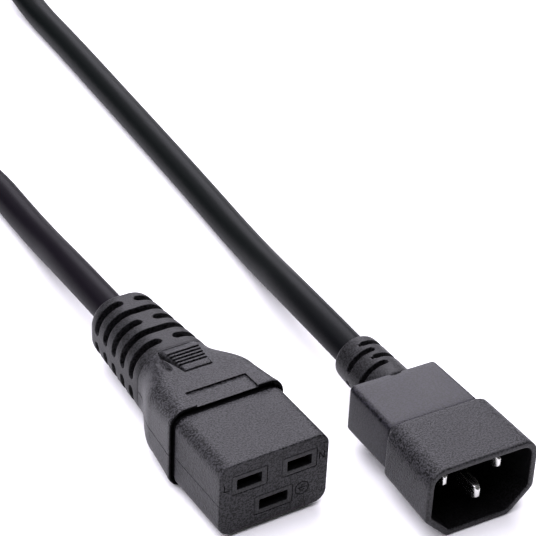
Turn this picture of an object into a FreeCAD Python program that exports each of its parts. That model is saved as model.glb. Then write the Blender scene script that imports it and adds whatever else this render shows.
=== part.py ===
# A moulded power lead: a C19 connector, its cable, and the C14 plug on the far end.
# Millimetres. +Z is up and the C19 connector's mating face looks along -Y.
# The origin is at the middle of the C19 connector's footprint, on the surface that it lies on.
# Each connector is drawn about its own axis, with y = 0 at its mating face and +Y towards the cable,
# and is then placed on that surface.
import FreeCAD, Part
import math
import os

import Sketcher

Vector = FreeCAD.Vector
Constraint = Sketcher.Constraint

SIZES = [
    # C19 connector, outside
    ("blockWidth", 27.8, "front block that enters the inlet"),
    ("blockHeight", 19.7, "front block"),
    ("blockLength", 20.8, "mating face to the grip's front end"),
    ("blockCorner", 3.2, "corner radius of the block"),
    ("faceEdge", 0.5, "rounding round the mating face"),
    ("gripFrontWidth", 30.2, "grip, at the block"),
    ("gripFrontHeight", 21.8, "grip, at the block"),
    ("gripFrontCorner", 4.2, "grip, at the block"),
    ("gripRearWidth", 28.4, "grip, at the shoulders"),
    ("gripRearHeight", 20.6, "grip, at the shoulders"),
    ("gripRearCorner", 5.0, "grip, at the shoulders"),
    ("gripLength", 10.2, "grip"),
    ("shoulderLength", 13.8, "grip to strain relief"),
    ("bootLength", 27.6, "strain relief"),
    ("bootRootWidth", 18.8, "strain relief, at the shoulders"),
    ("bootRootHeight", 18.9, "strain relief, at the shoulders"),
    ("bootRootCorner", 6.8, "strain relief, at the shoulders"),
    ("bootEndWidth", 15.8, "strain relief, at the cable"),
    ("bootEndHeight", 15.8, "strain relief, at the cable"),
    ("bootEndCorner", 6.2, "strain relief, at the cable"),
    ("bootEdge", 1.6, "rounding of the strain relief's end"),
    ("headRise", 0.65, "middle of the block and the grip above the cable's axis"),
    # C19 connector, slots of the strain relief
    ("slotRows", 5, "rows of slots along the strain relief"),
    ("slotPitch", 4.85, "spacing of the rows"),
    ("slotWidth", 2.0, "width of a slot"),
    ("slotStart", 49.1, "mating face to the first row"),
    ("topWeb", 3.4, "web between the slots of a split row"),
    ("sideWeb", 2.2, "height of the web at each side"),
    ("reliefWall", 1.3, "wall left round the cable under the slots"),
    # C19 connector, thumb pad and marking panel
    ("padStart", 33.4, "mating face to the pad's front edge"),
    ("padLength", 11.2, "pad"),
    ("padFrontWidth", 6.9, "pad, at the front"),
    ("padRearWidth", 9.2, "pad, at the rear"),
    ("padDrop", 0.6, "pad's top below the top of the grip's front"),
    ("padThickness", 5.0, "depth of the pad into the shoulder"),
    ("moatWidth", 1.1, "hollow beside and in front of the pad"),
    ("moatDepth", 1.5, "depth of that hollow below the pad's top"),
    ("ribCount", 5, "grooves across the pad"),
    ("ribPitch", 1.45, "spacing of the grooves"),
    ("ribGroove", 0.7, "width of a groove"),
    ("ribDepth", 0.45, "depth of a groove"),
    ("ribStart", 3.1, "pad's front edge to the first groove"),
    ("panelWidth", 16.0, "marking panel sunk in the grip's top"),
    ("panelLength", 5.8, "marking panel"),
    ("panelDepth", 0.62, "floor of the marking panel below the top of the grip's front"),
    # C19 contact carrier
    ("poleSpacing", 13.0, "line contact to neutral contact"),
    ("earthOffset", 8.0, "earth contact below the other two"),
    ("poleRise", 4.3, "line and neutral contacts above the cable's axis"),
    ("towerWidth", 9.1, "tower of a live contact"),
    ("earthTowerWidth", 9.9, "tower of the earth contact"),
    ("towerHeight", 5.2, "tower"),
    ("towerLength", 17.0, "mating face to the carrier's base"),
    ("towerFront", 1.6, "front wall of a tower"),
    ("entryWidth", 6.4, "blade entry of a live contact"),
    ("earthEntryWidth", 7.4, "blade entry of the earth contact"),
    ("entryHeight", 2.8, "blade entry"),
    ("baseWidth", 24.0, "carrier's base"),
    ("baseHeight", 15.0, "carrier's base"),
    ("baseThickness", 4.0, "carrier's base"),
    # contacts and crimps
    ("contactHeight", 3.8, "contact box"),
    ("contactSheet", 0.5, "sheet of the contacts"),
    ("contactMargin", 1.0, "contact box wider than the blade entry"),
    ("contactFit", 0.1, "gap round a contact in its tower"),
    ("neckWidth", 3.2, "neck from contact to crimp"),
    ("neckHeight", 1.4, "neck from contact to crimp"),
    ("crimpLength", 6.0, "crimp barrel"),
    ("crimpDiameter", 3.0, "crimp barrel"),
    # cable
    ("cableDiameter", 8.4, "jacket"),
    ("coreDiameter", 3.0, "insulated core"),
    ("copperDiameter", 1.7, "stranded conductor"),
    ("coreSpread", 2.05, "cable axis to a core's axis"),
    ("coreRun", 17.0, "length over which the cores spread out"),
    ("coreLead", 1.0, "straight length at each end of a core"),
    # C14 plug, outside
    ("shroudWidth", 28.9, "shroud, at the rim"),
    ("shroudHeight", 20.0, "shroud"),
    ("shroudTaper", 1.5, "shroud narrower at its rear end"),
    ("shroudLength", 18.6, "shroud, rim to the step"),
    ("shroudWall", 1.7, "shroud"),
    ("shroudChamfer", 6.2, "lower corners of the shroud"),
    ("shroudCorner", 4.3, "upper corners of the shroud"),
    ("shroudLowCorner", 2.4, "rounding beside the chamfers"),
    ("rimEdge", 0.6, "rounding of the shroud's rim"),
    ("shroudDrop", 1.9, "middle of the shroud below the cable's axis"),
    ("recessDepth", 16.0, "recess for the connector"),
    ("recessCorner", 2.8, "upper corners of the recess"),
    ("recessLowCorner", 1.4, "rounding beside the recess's chamfers"),
    ("plateInset", 1.6, "pin plate smaller than the recess, all round"),
    ("plateThickness", 4.0, "pin plate"),
    ("plugStep", 1.4, "bevel from the shroud to the grip"),
    ("stepInset", 0.6, "foot of the bevel inside the grip's outline"),
    ("plugGripWidth", 24.4, "grip, at the step"),
    ("plugGripHeight", 17.4, "grip"),
    ("plugGripTaper", 1.2, "grip narrower at its rear end"),
    ("plugGripChamfer", 5.2, "lower corners of the grip"),
    ("plugGripLength", 16.6, "grip"),
    ("plugGripCorner", 1.4, "edges along the grip"),
    ("plugGripDrop", 2.2, "middle of the grip below the cable's axis"),
    ("plugBootLength", 17.4, "strain relief"),
    ("plugBootRoot", 13.4, "diameter of the strain relief at the grip"),
    ("plugBootEnd", 12.2, "diameter of the strain relief at the cable"),
    ("plugBootEdge", 1.2, "rounding of the strain relief's end"),
    ("plugReliefWall", 0.7, "wall left round the cable under the slots"),
    ("plugSlots", 4, "staggered slots"),
    ("plugSlotPitch", 2.93, "spacing of the staggered slots"),
    ("plugSlotWidth", 1.5, "width of a slot"),
    ("plugSlotStart", 5.0, "grip's rear face to the first slot"),
    ("plugSlotReach", 1.1, "how far a slot passes over the middle"),
    # C14 pins
    ("pinSpacing", 14.0, "line pin to neutral pin"),
    ("pinRise", 1.0, "line and neutral pins above the cable's axis"),
    ("pinEarthOffset", 4.0, "earth pin below the other two"),
    ("pinWidth", 2.0, "pin"),
    ("pinHeight", 4.0, "pin"),
    ("pinSetback", 3.7, "rim to the tips of the live pins"),
    ("earthPinSetback", 0.75, "rim to the tip of the earth pin"),
    ("pinBevel", 0.75, "bevel round a pin's tip"),
    ("pinBevelLength", 1.3, "length of that bevel"),
    # where the plug lies, and the put-away coil
    ("plugX", 39.7, "mating end of the C14 plug, across"),
    ("plugY", -59.6, "mating end of the C14 plug, along"),
    ("plugTurn", -2.4, "how far the C14 plug is turned, in degrees"),
    ("coilX", 15.5, "middle of the coil"),
    ("coilY", 294.0, "middle of the coil"),
    ("coilInner", 38.5, "radius of the inner turns"),
    ("coilLayers", 2, "turns side by side, and turns on top of each other"),
    ("coilEdge", 2.3, "bevel round the coil's outer shape"),
    ("tieWidth", 10.0, "hook-and-loop tie"),
    ("tieSheet", 1.0, "hook-and-loop tie"),
]

doc = FreeCAD.newDocument("PowerLead")
sheet = doc.addObject("Spreadsheet::Sheet", "Sizes")
for row, (alias, value, note) in enumerate(SIZES, start=1):
    sheet.set(f"A{row}", note)
    sheet.set(f"B{row}", str(value))
    sheet.setAlias(f"B{row}", alias)
doc.recompute()


class Size:
    """A length that carries both its number and the sheet expression behind it."""

    def __init__(self, value, text):
        self.value = float(value)
        self.text = text

    def join(self, other, sign, value, swapped=False):
        other_text = other.text if isinstance(other, Size) else str(other)
        first, second = (other_text, self.text) if swapped else (self.text, other_text)
        return Size(value, f"({first} {sign} {second})")

    def __add__(self, other):
        return self.join(other, "+", self.value + number(other))

    def __radd__(self, other):
        return self.join(other, "+", number(other) + self.value, swapped=True)

    def __sub__(self, other):
        return self.join(other, "-", self.value - number(other))

    def __rsub__(self, other):
        return self.join(other, "-", number(other) - self.value, swapped=True)

    def __mul__(self, other):
        return self.join(other, "*", self.value * number(other))

    def __rmul__(self, other):
        return self.join(other, "*", number(other) * self.value, swapped=True)

    def __truediv__(self, other):
        return self.join(other, "/", self.value / number(other))

    def __neg__(self):
        return Size(-self.value, f"(-{self.text})")


def number(size):
    return size.value if isinstance(size, Size) else float(size)


def size(alias):
    return Size(sheet.get(alias), f"Sizes.{alias}")


def bind(item, target, value):
    """Ties one property or constraint of an object to the sheet."""
    if isinstance(value, Size):
        item.setExpression(target, value.text)


# ---------------------------------------------------------------- sketches and features

def new_body(label):
    body = doc.addObject("PartDesign::Body", label)
    body.Label = label
    return body


def new_sketch(body, name, role, offset=0, centre=(0, 0)):
    """A sketch on one of the body's own origin planes. An XZ sketch is moved along +Y by offset."""
    plane = [feature for feature in body.Origin.OriginFeatures if feature.Role == role][0]
    sketch = body.newObject("Sketcher::SketchObject", name)
    sketch.AttachmentSupport = [(plane, "")]
    sketch.MapMode = "FlatFace"
    if role == "XZ_Plane":
        offset = -offset
    base = Vector(number(centre[0]), number(centre[1]), number(offset))
    sketch.AttachmentOffset = FreeCAD.Placement(base, FreeCAD.Rotation())
    for axis, value in zip("xyz", (centre[0], centre[1], offset)):
        bind(sketch, f"AttachmentOffset.Base.{axis}", value)
    return sketch


def dimension(sketch, kind, *items):
    """Adds one driving dimension, the last item being its value, and ties it to the sheet."""
    value = items[-1]
    index = sketch.addConstraint(Constraint(kind, *items[:-1], number(value)))
    bind(sketch, f"Constraints[{index}]", value)


def add_circle(sketch, diameter):
    index = sketch.addGeometry(Part.Circle(Vector(), Vector(0, 0, 1), number(diameter) / 2))
    sketch.addConstraint(Constraint("Coincident", index, 3, -1, 1))
    dimension(sketch, "Diameter", index, diameter)


def add_polygon(sketch, points):
    """A closed outline. Each corner is held from the sketch's origin, so it follows its sizes."""
    first = sketch.GeometryCount
    count = len(points)
    spots = [Vector(number(x), number(y), 0) for x, y in points]
    for i in range(count):
        sketch.addGeometry(Part.LineSegment(spots[i], spots[(i + 1) % count]))
    for i in range(count):
        sketch.addConstraint(Constraint("Coincident", first + i, 2, first + (i + 1) % count, 1))
        dimension(sketch, "DistanceX", -1, 1, first + i, 1, points[i][0])
        dimension(sketch, "DistanceY", -1, 1, first + i, 1, points[i][1])


def add_rectangle(sketch, width, height):
    add_polygon(sketch, [(-width / 2, -height / 2), (width / 2, -height / 2),
                         (width / 2, height / 2), (-width / 2, height / 2)])


def add_rounded_rectangle(sketch, width, height, corner):
    """Centred on the sketch's origin: four sides, and four tangent arcs of one radius."""
    half_x, half_y, radius = number(width) / 2, number(height) / 2, number(corner)
    in_x, in_y = half_x - radius, half_y - radius
    sides = [((-in_x, half_y), (in_x, half_y)), ((half_x, in_y), (half_x, -in_y)),
             ((in_x, -half_y), (-in_x, -half_y)), ((-half_x, -in_y), (-half_x, in_y))]
    for start, end in sides:
        sketch.addGeometry(Part.LineSegment(Vector(*start, 0), Vector(*end, 0)))
    corners = [(in_x, in_y, 0), (in_x, -in_y, 270), (-in_x, -in_y, 180), (-in_x, in_y, 90)]
    for x, y, start in corners:
        circle = Part.Circle(Vector(x, y, 0), Vector(0, 0, 1), radius)
        sketch.addGeometry(Part.ArcOfCircle(circle, math.radians(start), math.radians(start + 90)))
    for i in range(4):
        sketch.addConstraint(Constraint("Tangent", i, 2, 4 + i, 2))
        sketch.addConstraint(Constraint("Tangent", 4 + i, 1, (i + 1) % 4, 1))
        sketch.addConstraint(Constraint("Horizontal" if i % 2 == 0 else "Vertical", i))
    for i in range(5, 8):
        sketch.addConstraint(Constraint("Equal", 4, i))
    dimension(sketch, "Radius", 4, corner)
    dimension(sketch, "DistanceX", 7, 3, 4, 3, width - 2 * corner)
    dimension(sketch, "DistanceY", 5, 3, 4, 3, height - 2 * corner)
    dimension(sketch, "DistanceX", -1, 1, 1, 1, width / 2)
    dimension(sketch, "DistanceY", -1, 1, 0, 1, height / 2)


def pad(body, sketch, length, name, away=True):
    """Extrudes an XZ sketch towards +Y, or another sketch along its own normal."""
    feature = body.newObject("PartDesign::Pad", name)
    feature.Profile = sketch
    feature.Length = number(length)
    bind(feature, "Length", length)
    feature.Reversed = away
    body.Tip = feature
    return feature


def pocket(body, sketch, name, length=None, reverse=True):
    """Cuts a sketch through everything, or to a depth, and makes sure that it did cut."""
    doc.recompute()
    before = body.Shape.Volume
    feature = body.newObject("PartDesign::Pocket", name)
    feature.Profile = sketch
    if length is None:
        feature.Type = "ThroughAll"
    else:
        feature.Length = number(length)
        bind(feature, "Length", length)
    feature.Reversed = reverse
    body.Tip = feature
    doc.recompute()
    assert body.Shape.Volume < before, f"{name} cuts nothing"
    return feature


def loft(body, sketches, name, ruled=False):
    feature = body.newObject("PartDesign::AdditiveLoft", name)
    feature.Profile = sketches[0]
    feature.Sections = sketches[1:]
    feature.Ruled = ruled
    body.Tip = feature
    return feature


def round_edges(body, radius, name, wanted):
    """Rounds the edges of the body's tip that the test picks."""
    doc.recompute()
    tip = body.Tip
    names = [f"Edge{i}" for i, edge in enumerate(tip.Shape.Edges, start=1) if wanted(edge)]
    feature = body.newObject("PartDesign::Fillet", name)
    feature.Base = (tip, names)
    feature.Radius = number(radius)
    bind(feature, "Radius", radius)
    body.Tip = feature
    doc.recompute()
    assert names and body.Shape.isValid(), f"{name} fails"
    return feature


def lies_at(value, axis=1):
    """A test for edges that lie wholly in one plane across an axis."""
    def wanted(edge):
        return all(abs(getattr(vertex.Point, "xyz"[axis]) - number(value)) < 1e-4
                   for vertex in edge.Vertexes)
    return wanted


def box(label, width, length, height, centre, start):
    """A block centred on (x, z) that runs from start towards +Y."""
    block = doc.addObject("Part::Box", label)
    for target, value in (("Length", width), ("Width", length), ("Height", height),
                          ("Placement.Base.x", centre[0] - width / 2),
                          ("Placement.Base.y", start),
                          ("Placement.Base.z", centre[1] - height / 2)):
        if not target.startswith("Placement"):
            setattr(block, target, number(value))
        bind(block, target, value)
    return block


def fuse(label, shapes):
    joined = doc.addObject("Part::MultiFuse", label)
    joined.Shapes = shapes
    return joined


def cut(label, base, tool):
    rest = doc.addObject("Part::Cut", label)
    rest.Label = label
    rest.Base = base
    rest.Tool = tool
    return rest


def place(item, base, turn=0):
    """Puts a piece in the lead's own frame: base is a point, turn is degrees about Z."""
    x, y, z = base
    rotation = FreeCAD.Rotation(Vector(0, 0, 1), number(turn))
    item.Placement = FreeCAD.Placement(Vector(number(x), number(y), number(z)), rotation)
    for axis, value in zip("xyz", base):
        bind(item, f"Placement.Base.{axis}", value)
    bind(item, "Placement.Rotation.Angle", turn)


nodes = {}


def keep(item):
    nodes[item.Label] = item


# ---------------------------------------------------------------- where each connector sits

connector_length = (size("blockLength") + size("gripLength") + size("shoulderLength")
                    + size("bootLength"))
connector_base = (0, -connector_length / 2, size("gripFrontHeight") / 2 - size("headRise"))
plug_length = (size("shroudLength") + size("plugStep") + size("plugGripLength")
               + size("plugBootLength"))
plug_base = (size("plugX"), size("plugY"), size("shroudHeight") / 2 + size("shroudDrop"))


# ---------------------------------------------------------------- C19 connector

def connector_poles():
    """Name, place across and up, blade entry width and tower width of each contact."""
    rise = size("poleRise")
    side = size("poleSpacing") / 2
    live = (size("entryWidth"), size("towerWidth"))
    earth = (size("earthEntryWidth"), size("earthTowerWidth"))
    return [("line", -side, rise, *live), ("neutral", side, rise, *live),
            ("earth", 0, rise - size("earthOffset"), *earth)]


def grip_section(body, name, offset, end):
    """One section of the grip. It sits a little above the cable's axis, as the block does."""
    section = new_sketch(body, name, "XZ_Plane", offset, (0, size("headRise")))
    add_rounded_rectangle(section, *[size(f"grip{end}{side}") for side in ("Width", "Height", "Corner")])
    return section


def connector_shell():
    """The outside of the moulding: front block, grip, shoulders and slotted strain relief."""
    body = new_body("connector_shell")
    rise = size("headRise")
    block = new_sketch(body, "block_outline", "XZ_Plane", 0, (0, rise))
    add_rounded_rectangle(block, size("blockWidth"), size("blockHeight"), size("blockCorner"))
    pad(body, block, size("blockLength"), "block")
    round_edges(body, size("faceEdge"), "face_edge", lies_at(0))

    grip_end = size("blockLength") + size("gripLength")
    loft(body, [grip_section(body, "grip_front", size("blockLength"), "Front"),
                grip_section(body, "grip_rear", grip_end, "Rear")], "grip", ruled=True)

    # The shoulders ease from the grip to the strain relief along an S curve.
    sections = []
    for step in (0, 0.15, 0.3, 0.5, 0.7, 0.85, 1):
        ease = step * step * (3 - 2 * step)
        section = new_sketch(body, f"shoulder_{int(step * 100)}", "XZ_Plane",
                             grip_end + size("shoulderLength") * step, (0, rise * (1 - ease)))
        blend = [size(f"gripRear{side}") * (1 - ease) + size(f"bootRoot{side}") * ease
                 for side in ("Width", "Height", "Corner")]
        add_rounded_rectangle(section, *blend)
        sections.append(section)
    loft(body, sections, "shoulders", ruled=True)

    boot_start = grip_end + size("shoulderLength")
    root = new_sketch(body, "relief_root", "XZ_Plane", boot_start)
    add_rounded_rectangle(root, size("bootRootWidth"), size("bootRootHeight"), size("bootRootCorner"))
    end = new_sketch(body, "relief_end", "XZ_Plane", connector_length)
    add_rounded_rectangle(end, size("bootEndWidth"), size("bootEndHeight"), size("bootEndCorner"))
    loft(body, [root, end], "strain_relief", ruled=True)
    round_edges(body, size("bootEdge"), "relief_end_edge", lies_at(connector_length))

    thumb_pad(body)
    relief_slots(body)
    relief_core(body, connector_length, size("bootLength") - size("bootEdge"), size("bootEdge"),
                size("reliefWall"))
    marking_panel(body)
    return body


def pad_outline(margin, front, rear):
    """The pad's tapering plan, or the plan of the hollow round it."""
    near = size("padFrontWidth") / 2 + margin
    far = size("padRearWidth") / 2 + margin
    return [(-near, front), (near, front), (far, rear), (-far, rear)]


def thumb_pad(body):
    """A flat tongue, grooved for the thumb, that runs level over the falling shoulder.

    A hollow round its front and sides lets it stand free of the shoulder.
    """
    top = size("gripFrontHeight") / 2 + size("headRise") - size("padDrop")
    front = size("padStart")
    rear = front + size("padLength")
    moat = new_sketch(body, "pad_moat_outline", "XY_Plane", top - size("moatDepth"))
    add_polygon(moat, pad_outline(size("moatWidth"), front - size("moatWidth"), rear))
    pocket(body, moat, "pad_moat")
    outline = new_sketch(body, "thumb_pad_outline", "XY_Plane", top - size("padThickness"))
    add_polygon(outline, pad_outline(0, front, rear))
    pad(body, outline, size("padThickness"), "thumb_pad", away=False)
    for i in range(int(number(size("ribCount")))):
        groove = new_sketch(body, f"rib_groove_{i}", "XY_Plane", top,
                            (0, front + size("ribStart") + size("ribPitch") * i))
        add_rectangle(groove, size("padRearWidth"), size("ribGroove"))
        pocket(body, groove, f"rib_cut_{i}", size("ribDepth"), reverse=False)


def relief_slots(body):
    """Rows of slots from above and below. Every other row is split by a web on the middle line."""
    reach = size("gripFrontWidth") / 2
    cuts = []
    for row in range(int(number(size("slotRows")))):
        centre = (0, size("slotStart") + size("slotPitch") * row)
        if row % 2:
            spans = [(-reach, reach)]
        else:
            spans = [(-reach, -size("topWeb") / 2), (size("topWeb") / 2, reach)]
        slot = new_sketch(body, f"slot_row_{row}", "XY_Plane", size("sideWeb") / 2, centre)
        half = size("slotWidth") / 2
        for left, right in spans:
            add_polygon(slot, [(left, -half), (right, -half), (right, half), (left, half)])
        cuts.append(pocket(body, slot, f"slot_cut_{row}"))
    mirror = body.newObject("PartDesign::Mirrored", "slots_below")
    mirror.Originals = cuts
    mirror.MirrorPlane = ([f for f in body.Origin.OriginFeatures if f.Role == "XY_Plane"][0], [""])
    body.Tip = mirror
    doc.recompute()


def relief_core(body, end, length, edge, wall):
    """The wall that stays round the cable where the slots are cut."""
    core = new_sketch(body, "relief_core_outline", "XZ_Plane", end - edge - length)
    add_circle(core, size("cableDiameter") + 2 * wall)
    pad(body, core, length, "relief_core")


def marking_panel(body):
    """A shallow panel sunk in the grip's top, open to the grip's front edge and left bare."""
    top = size("gripFrontHeight") / 2 + size("headRise")
    panel = new_sketch(body, "panel_outline", "XY_Plane", top,
                       (0, size("blockLength") + size("panelLength") / 2))
    add_rectangle(panel, size("panelWidth"), size("panelLength"))
    pocket(body, panel, "marking_panel", size("panelDepth"), reverse=False)


def contact_box(width):
    """Width of a contact's box for a blade entry."""
    return width + size("contactMargin")


def connector_carrier(poles):
    """The inner moulding: a base with three towers that reach the mating face."""
    fit = 2 * size("contactFit")
    base = box("carrier_base", size("baseWidth"), size("baseThickness"), size("baseHeight"),
               (0, size("headRise")), size("towerLength"))
    outline = [base]
    hollow = []
    for name, x, z, entry, tower in poles:
        outline.append(box(f"tower_{name}", tower, size("towerLength"), size("towerHeight"),
                           (x, z), 0))
        hollow.append(box(f"entry_{name}", entry, size("towerFront"), size("entryHeight"),
                          (x, z), 0))
        hollow.append(box(f"cavity_{name}", contact_box(entry) + fit,
                          size("towerLength") - size("towerFront"), size("contactHeight") + fit,
                          (x, z), size("towerFront")))
        hollow.append(box(f"neck_hole_{name}", size("neckWidth"), size("baseThickness"),
                          size("neckHeight"), (x, z), size("towerLength")))
    whole = fuse("carrier_outline", outline)
    return whole, cut("c19_contact_carrier", whole, fuse("carrier_hollows", hollow))


def crimped_tail(body, start):
    """Neck through the carrier's base, and the crimp barrel that grips the conductor."""
    neck = new_sketch(body, "neck_outline", "XZ_Plane", start)
    add_rectangle(neck, size("neckWidth"), size("neckHeight"))
    pad(body, neck, size("baseThickness"), "neck")
    barrel = new_sketch(body, "barrel_outline", "XZ_Plane", start + size("baseThickness"))
    add_circle(barrel, size("crimpDiameter"))
    pad(body, barrel, size("crimpLength"), "barrel")
    bore = new_sketch(body, "barrel_bore", "XZ_Plane",
                      start + size("baseThickness") + size("crimpLength"))
    add_circle(bore, size("copperDiameter"))
    pocket(body, bore, "barrel_bore_cut", size("crimpLength") - size("contactSheet"))


def connector_contact(name, x, z, entry):
    """A female contact folded from sheet: a flat box for the blade, a neck and a crimp barrel."""
    body = new_body(f"c19_contact_{name}")
    width = contact_box(entry)
    sheet_wall = 2 * size("contactSheet")
    length = size("towerLength") - size("towerFront")
    solid = new_sketch(body, "box_outline", "XZ_Plane", size("towerFront"))
    add_rectangle(solid, width, size("contactHeight"))
    pad(body, solid, length, "box")
    inside = new_sketch(body, "box_inside", "XZ_Plane", size("towerFront"))
    add_rectangle(inside, width - sheet_wall, size("contactHeight") - sheet_wall)
    pocket(body, inside, "box_hollow", length - size("contactSheet"), reverse=False)
    crimped_tail(body, size("towerLength"))
    place(body, (x, connector_base[1], connector_base[2] + z))
    return body


# ---------------------------------------------------------------- cores of the cable

def core_angle(x, z):
    """Direction of a pole from the connector's axis, in degrees, as a rotation about +Y."""
    return -math.degrees(math.atan2(number(z), number(x)))


def core(label, x, z, start, diameter, bore=None, extra=0):
    """One core from its crimp to the jacket. It is drawn in the XY plane and turned about Y."""
    body = new_body(label)
    reach = math.hypot(number(x), number(z))
    spread = number(size("coreSpread"))
    lead = number(size("coreLead"))
    run = number(size("coreRun"))
    y = number(start)
    drop = reach - spread
    half_turn = math.atan(abs(drop) / run)
    radius = run / (2 * math.sin(2 * half_turn))
    side = math.copysign(1, drop)
    profile = new_sketch(body, "profile", "XZ_Plane", start - extra, (reach, 0))
    add_circle(profile, diameter)
    if bore is not None:
        add_circle(profile, bore)

    def bend(centre_x, centre_y, sign, angle):
        return Vector(centre_x + sign * radius * math.cos(angle), centre_y + radius * math.sin(angle), 0)

    first = (reach - side * radius, y + lead)
    last = (spread + side * radius, y + lead + run)
    middle = bend(*first, side, 2 * half_turn)
    path = new_sketch(body, "path", "XY_Plane")
    path.addGeometry(Part.LineSegment(Vector(reach, y - number(extra), 0), Vector(reach, y + lead, 0)))
    path.addGeometry(Part.Arc(Vector(reach, y + lead, 0), bend(*first, side, half_turn), middle))
    path.addGeometry(Part.Arc(middle, bend(*last, -side, -half_turn), Vector(spread, y + lead + run, 0)))
    path.addGeometry(Part.LineSegment(Vector(spread, y + lead + run, 0),
                                      Vector(spread, y + 2 * lead + run, 0)))
    doc.recompute()
    pipe = body.newObject("PartDesign::AdditivePipe", "sweep")
    pipe.Profile = profile
    pipe.Spine = (path, [f"Edge{i}" for i in range(1, 5)])
    body.Tip = pipe
    return body


def place_core(item, x, z, base, turn=0):
    """Turns a core about the connector's axis to its own pole, then lays it in the connector."""
    about_axis = FreeCAD.Rotation(Vector(0, 1, 0), core_angle(x, z))
    about_up = FreeCAD.Rotation(Vector(0, 0, 1), number(turn))
    point = Vector(*[number(value) for value in base])
    item.Placement = FreeCAD.Placement(point, about_up.multiply(about_axis))


def core_set(prefix, poles, start):
    """For each pole: the insulation and the conductor to keep, and a plain core to cut with."""
    kept = []
    tools = []
    crimp_bore = size("crimpLength") - size("contactSheet")
    for name, x, z in poles:
        insulation = core(f"{prefix}_insulation_{name}", x, z, start, size("coreDiameter"),
                          size("copperDiameter"))
        copper = core(f"{prefix}_conductor_{name}", x, z, start, size("copperDiameter"),
                      extra=crimp_bore)
        kept.append((insulation, x, z))
        kept.append((copper, x, z))
        tool = core(f"{prefix}_room_{name}", x, z, start, size("coreDiameter"))
        place_core(tool, x, z, (0, 0, 0))
        tools.append(tool)
        tools.append(crimp_room(f"{prefix}_crimp_room_{name}", x, z, start))
    return kept, tools


def crimp_room(label, x, z, end):
    """The space that a crimp barrel takes in the moulding."""
    barrel = doc.addObject("Part::Cylinder", label)
    barrel.Radius = number(size("crimpDiameter")) / 2
    bind(barrel, "Radius", size("crimpDiameter") / 2)
    barrel.Height = number(size("crimpLength"))
    bind(barrel, "Height", size("crimpLength"))
    barrel.Placement = FreeCAD.Placement(Vector(number(x), number(end - size("crimpLength")), number(z)),
                                         FreeCAD.Rotation(Vector(1, 0, 0), -90))
    bind(barrel, "Placement.Base.x", x)
    bind(barrel, "Placement.Base.y", end - size("crimpLength"))
    bind(barrel, "Placement.Base.z", z)
    return barrel


def jacket_room(label, start, end):
    """The space that the cable's jacket takes in a strain relief."""
    room = doc.addObject("Part::Cylinder", label)
    room.Radius = number(size("cableDiameter")) / 2
    bind(room, "Radius", size("cableDiameter") / 2)
    room.Height = number(end - start)
    bind(room, "Height", end - start)
    room.Placement = FreeCAD.Placement(Vector(0, number(start), 0),
                                       FreeCAD.Rotation(Vector(1, 0, 0), -90))
    bind(room, "Placement.Base.y", start)
    return room


def crimp_end(base_rear):
    return base_rear + size("crimpLength")


def jacket_start(base_rear):
    """Where the jacket is stripped back to, behind a carrier."""
    return crimp_end(base_rear) + size("coreRun") + 2 * size("coreLead")


# ---------------------------------------------------------------- C14 plug

def plug_outline(width, height, chamfer):
    """The plug's section: square above, with both lower corners cut at 45 degrees."""
    half, rise = width / 2, height / 2
    return [(-half, rise), (-half, chamfer - rise), (chamfer - half, -rise),
            (half - chamfer, -rise), (half, chamfer - rise), (half, rise)]


def plug_section(body, name, offset, drop, outline):
    section = new_sketch(body, name, "XZ_Plane", offset, (0, -drop))
    add_polygon(section, outline)
    return section


def edges_along(points, drop, span):
    """A test for edges that run the whole span and start near the given corners of an outline."""
    spots = [(number(x), number(z - drop)) for x, z in points]
    low, high = number(span[0]), number(span[1])

    def wanted(edge):
        if len(edge.Vertexes) != 2:
            return False
        front, rear = sorted((vertex.Point for vertex in edge.Vertexes), key=lambda point: point.y)
        if abs(front.y - low) > 1e-3 or abs(rear.y - high) > 1e-3:
            return False
        return min(math.hypot(front.x - x, front.z - z) for x, z in spots) < 1e-3
    return wanted


def tapered_prism(body, name, start, length, drop, outline, taper):
    """Extrudes a plug section towards +Y, then trims both sides so that it narrows to the rear."""
    pad(body, plug_section(body, f"{name}_outline", start, drop, outline), length, name)
    half = outline[-1][0]
    trim = new_sketch(body, f"{name}_sides", "XY_Plane", -2 * half)
    for side in (-1, 1):
        add_polygon(trim, [(side * half, start), (side * half, start + length),
                           (side * (half - taper / 2), start + length)])
    pocket(body, trim, f"{name}_taper")


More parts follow.
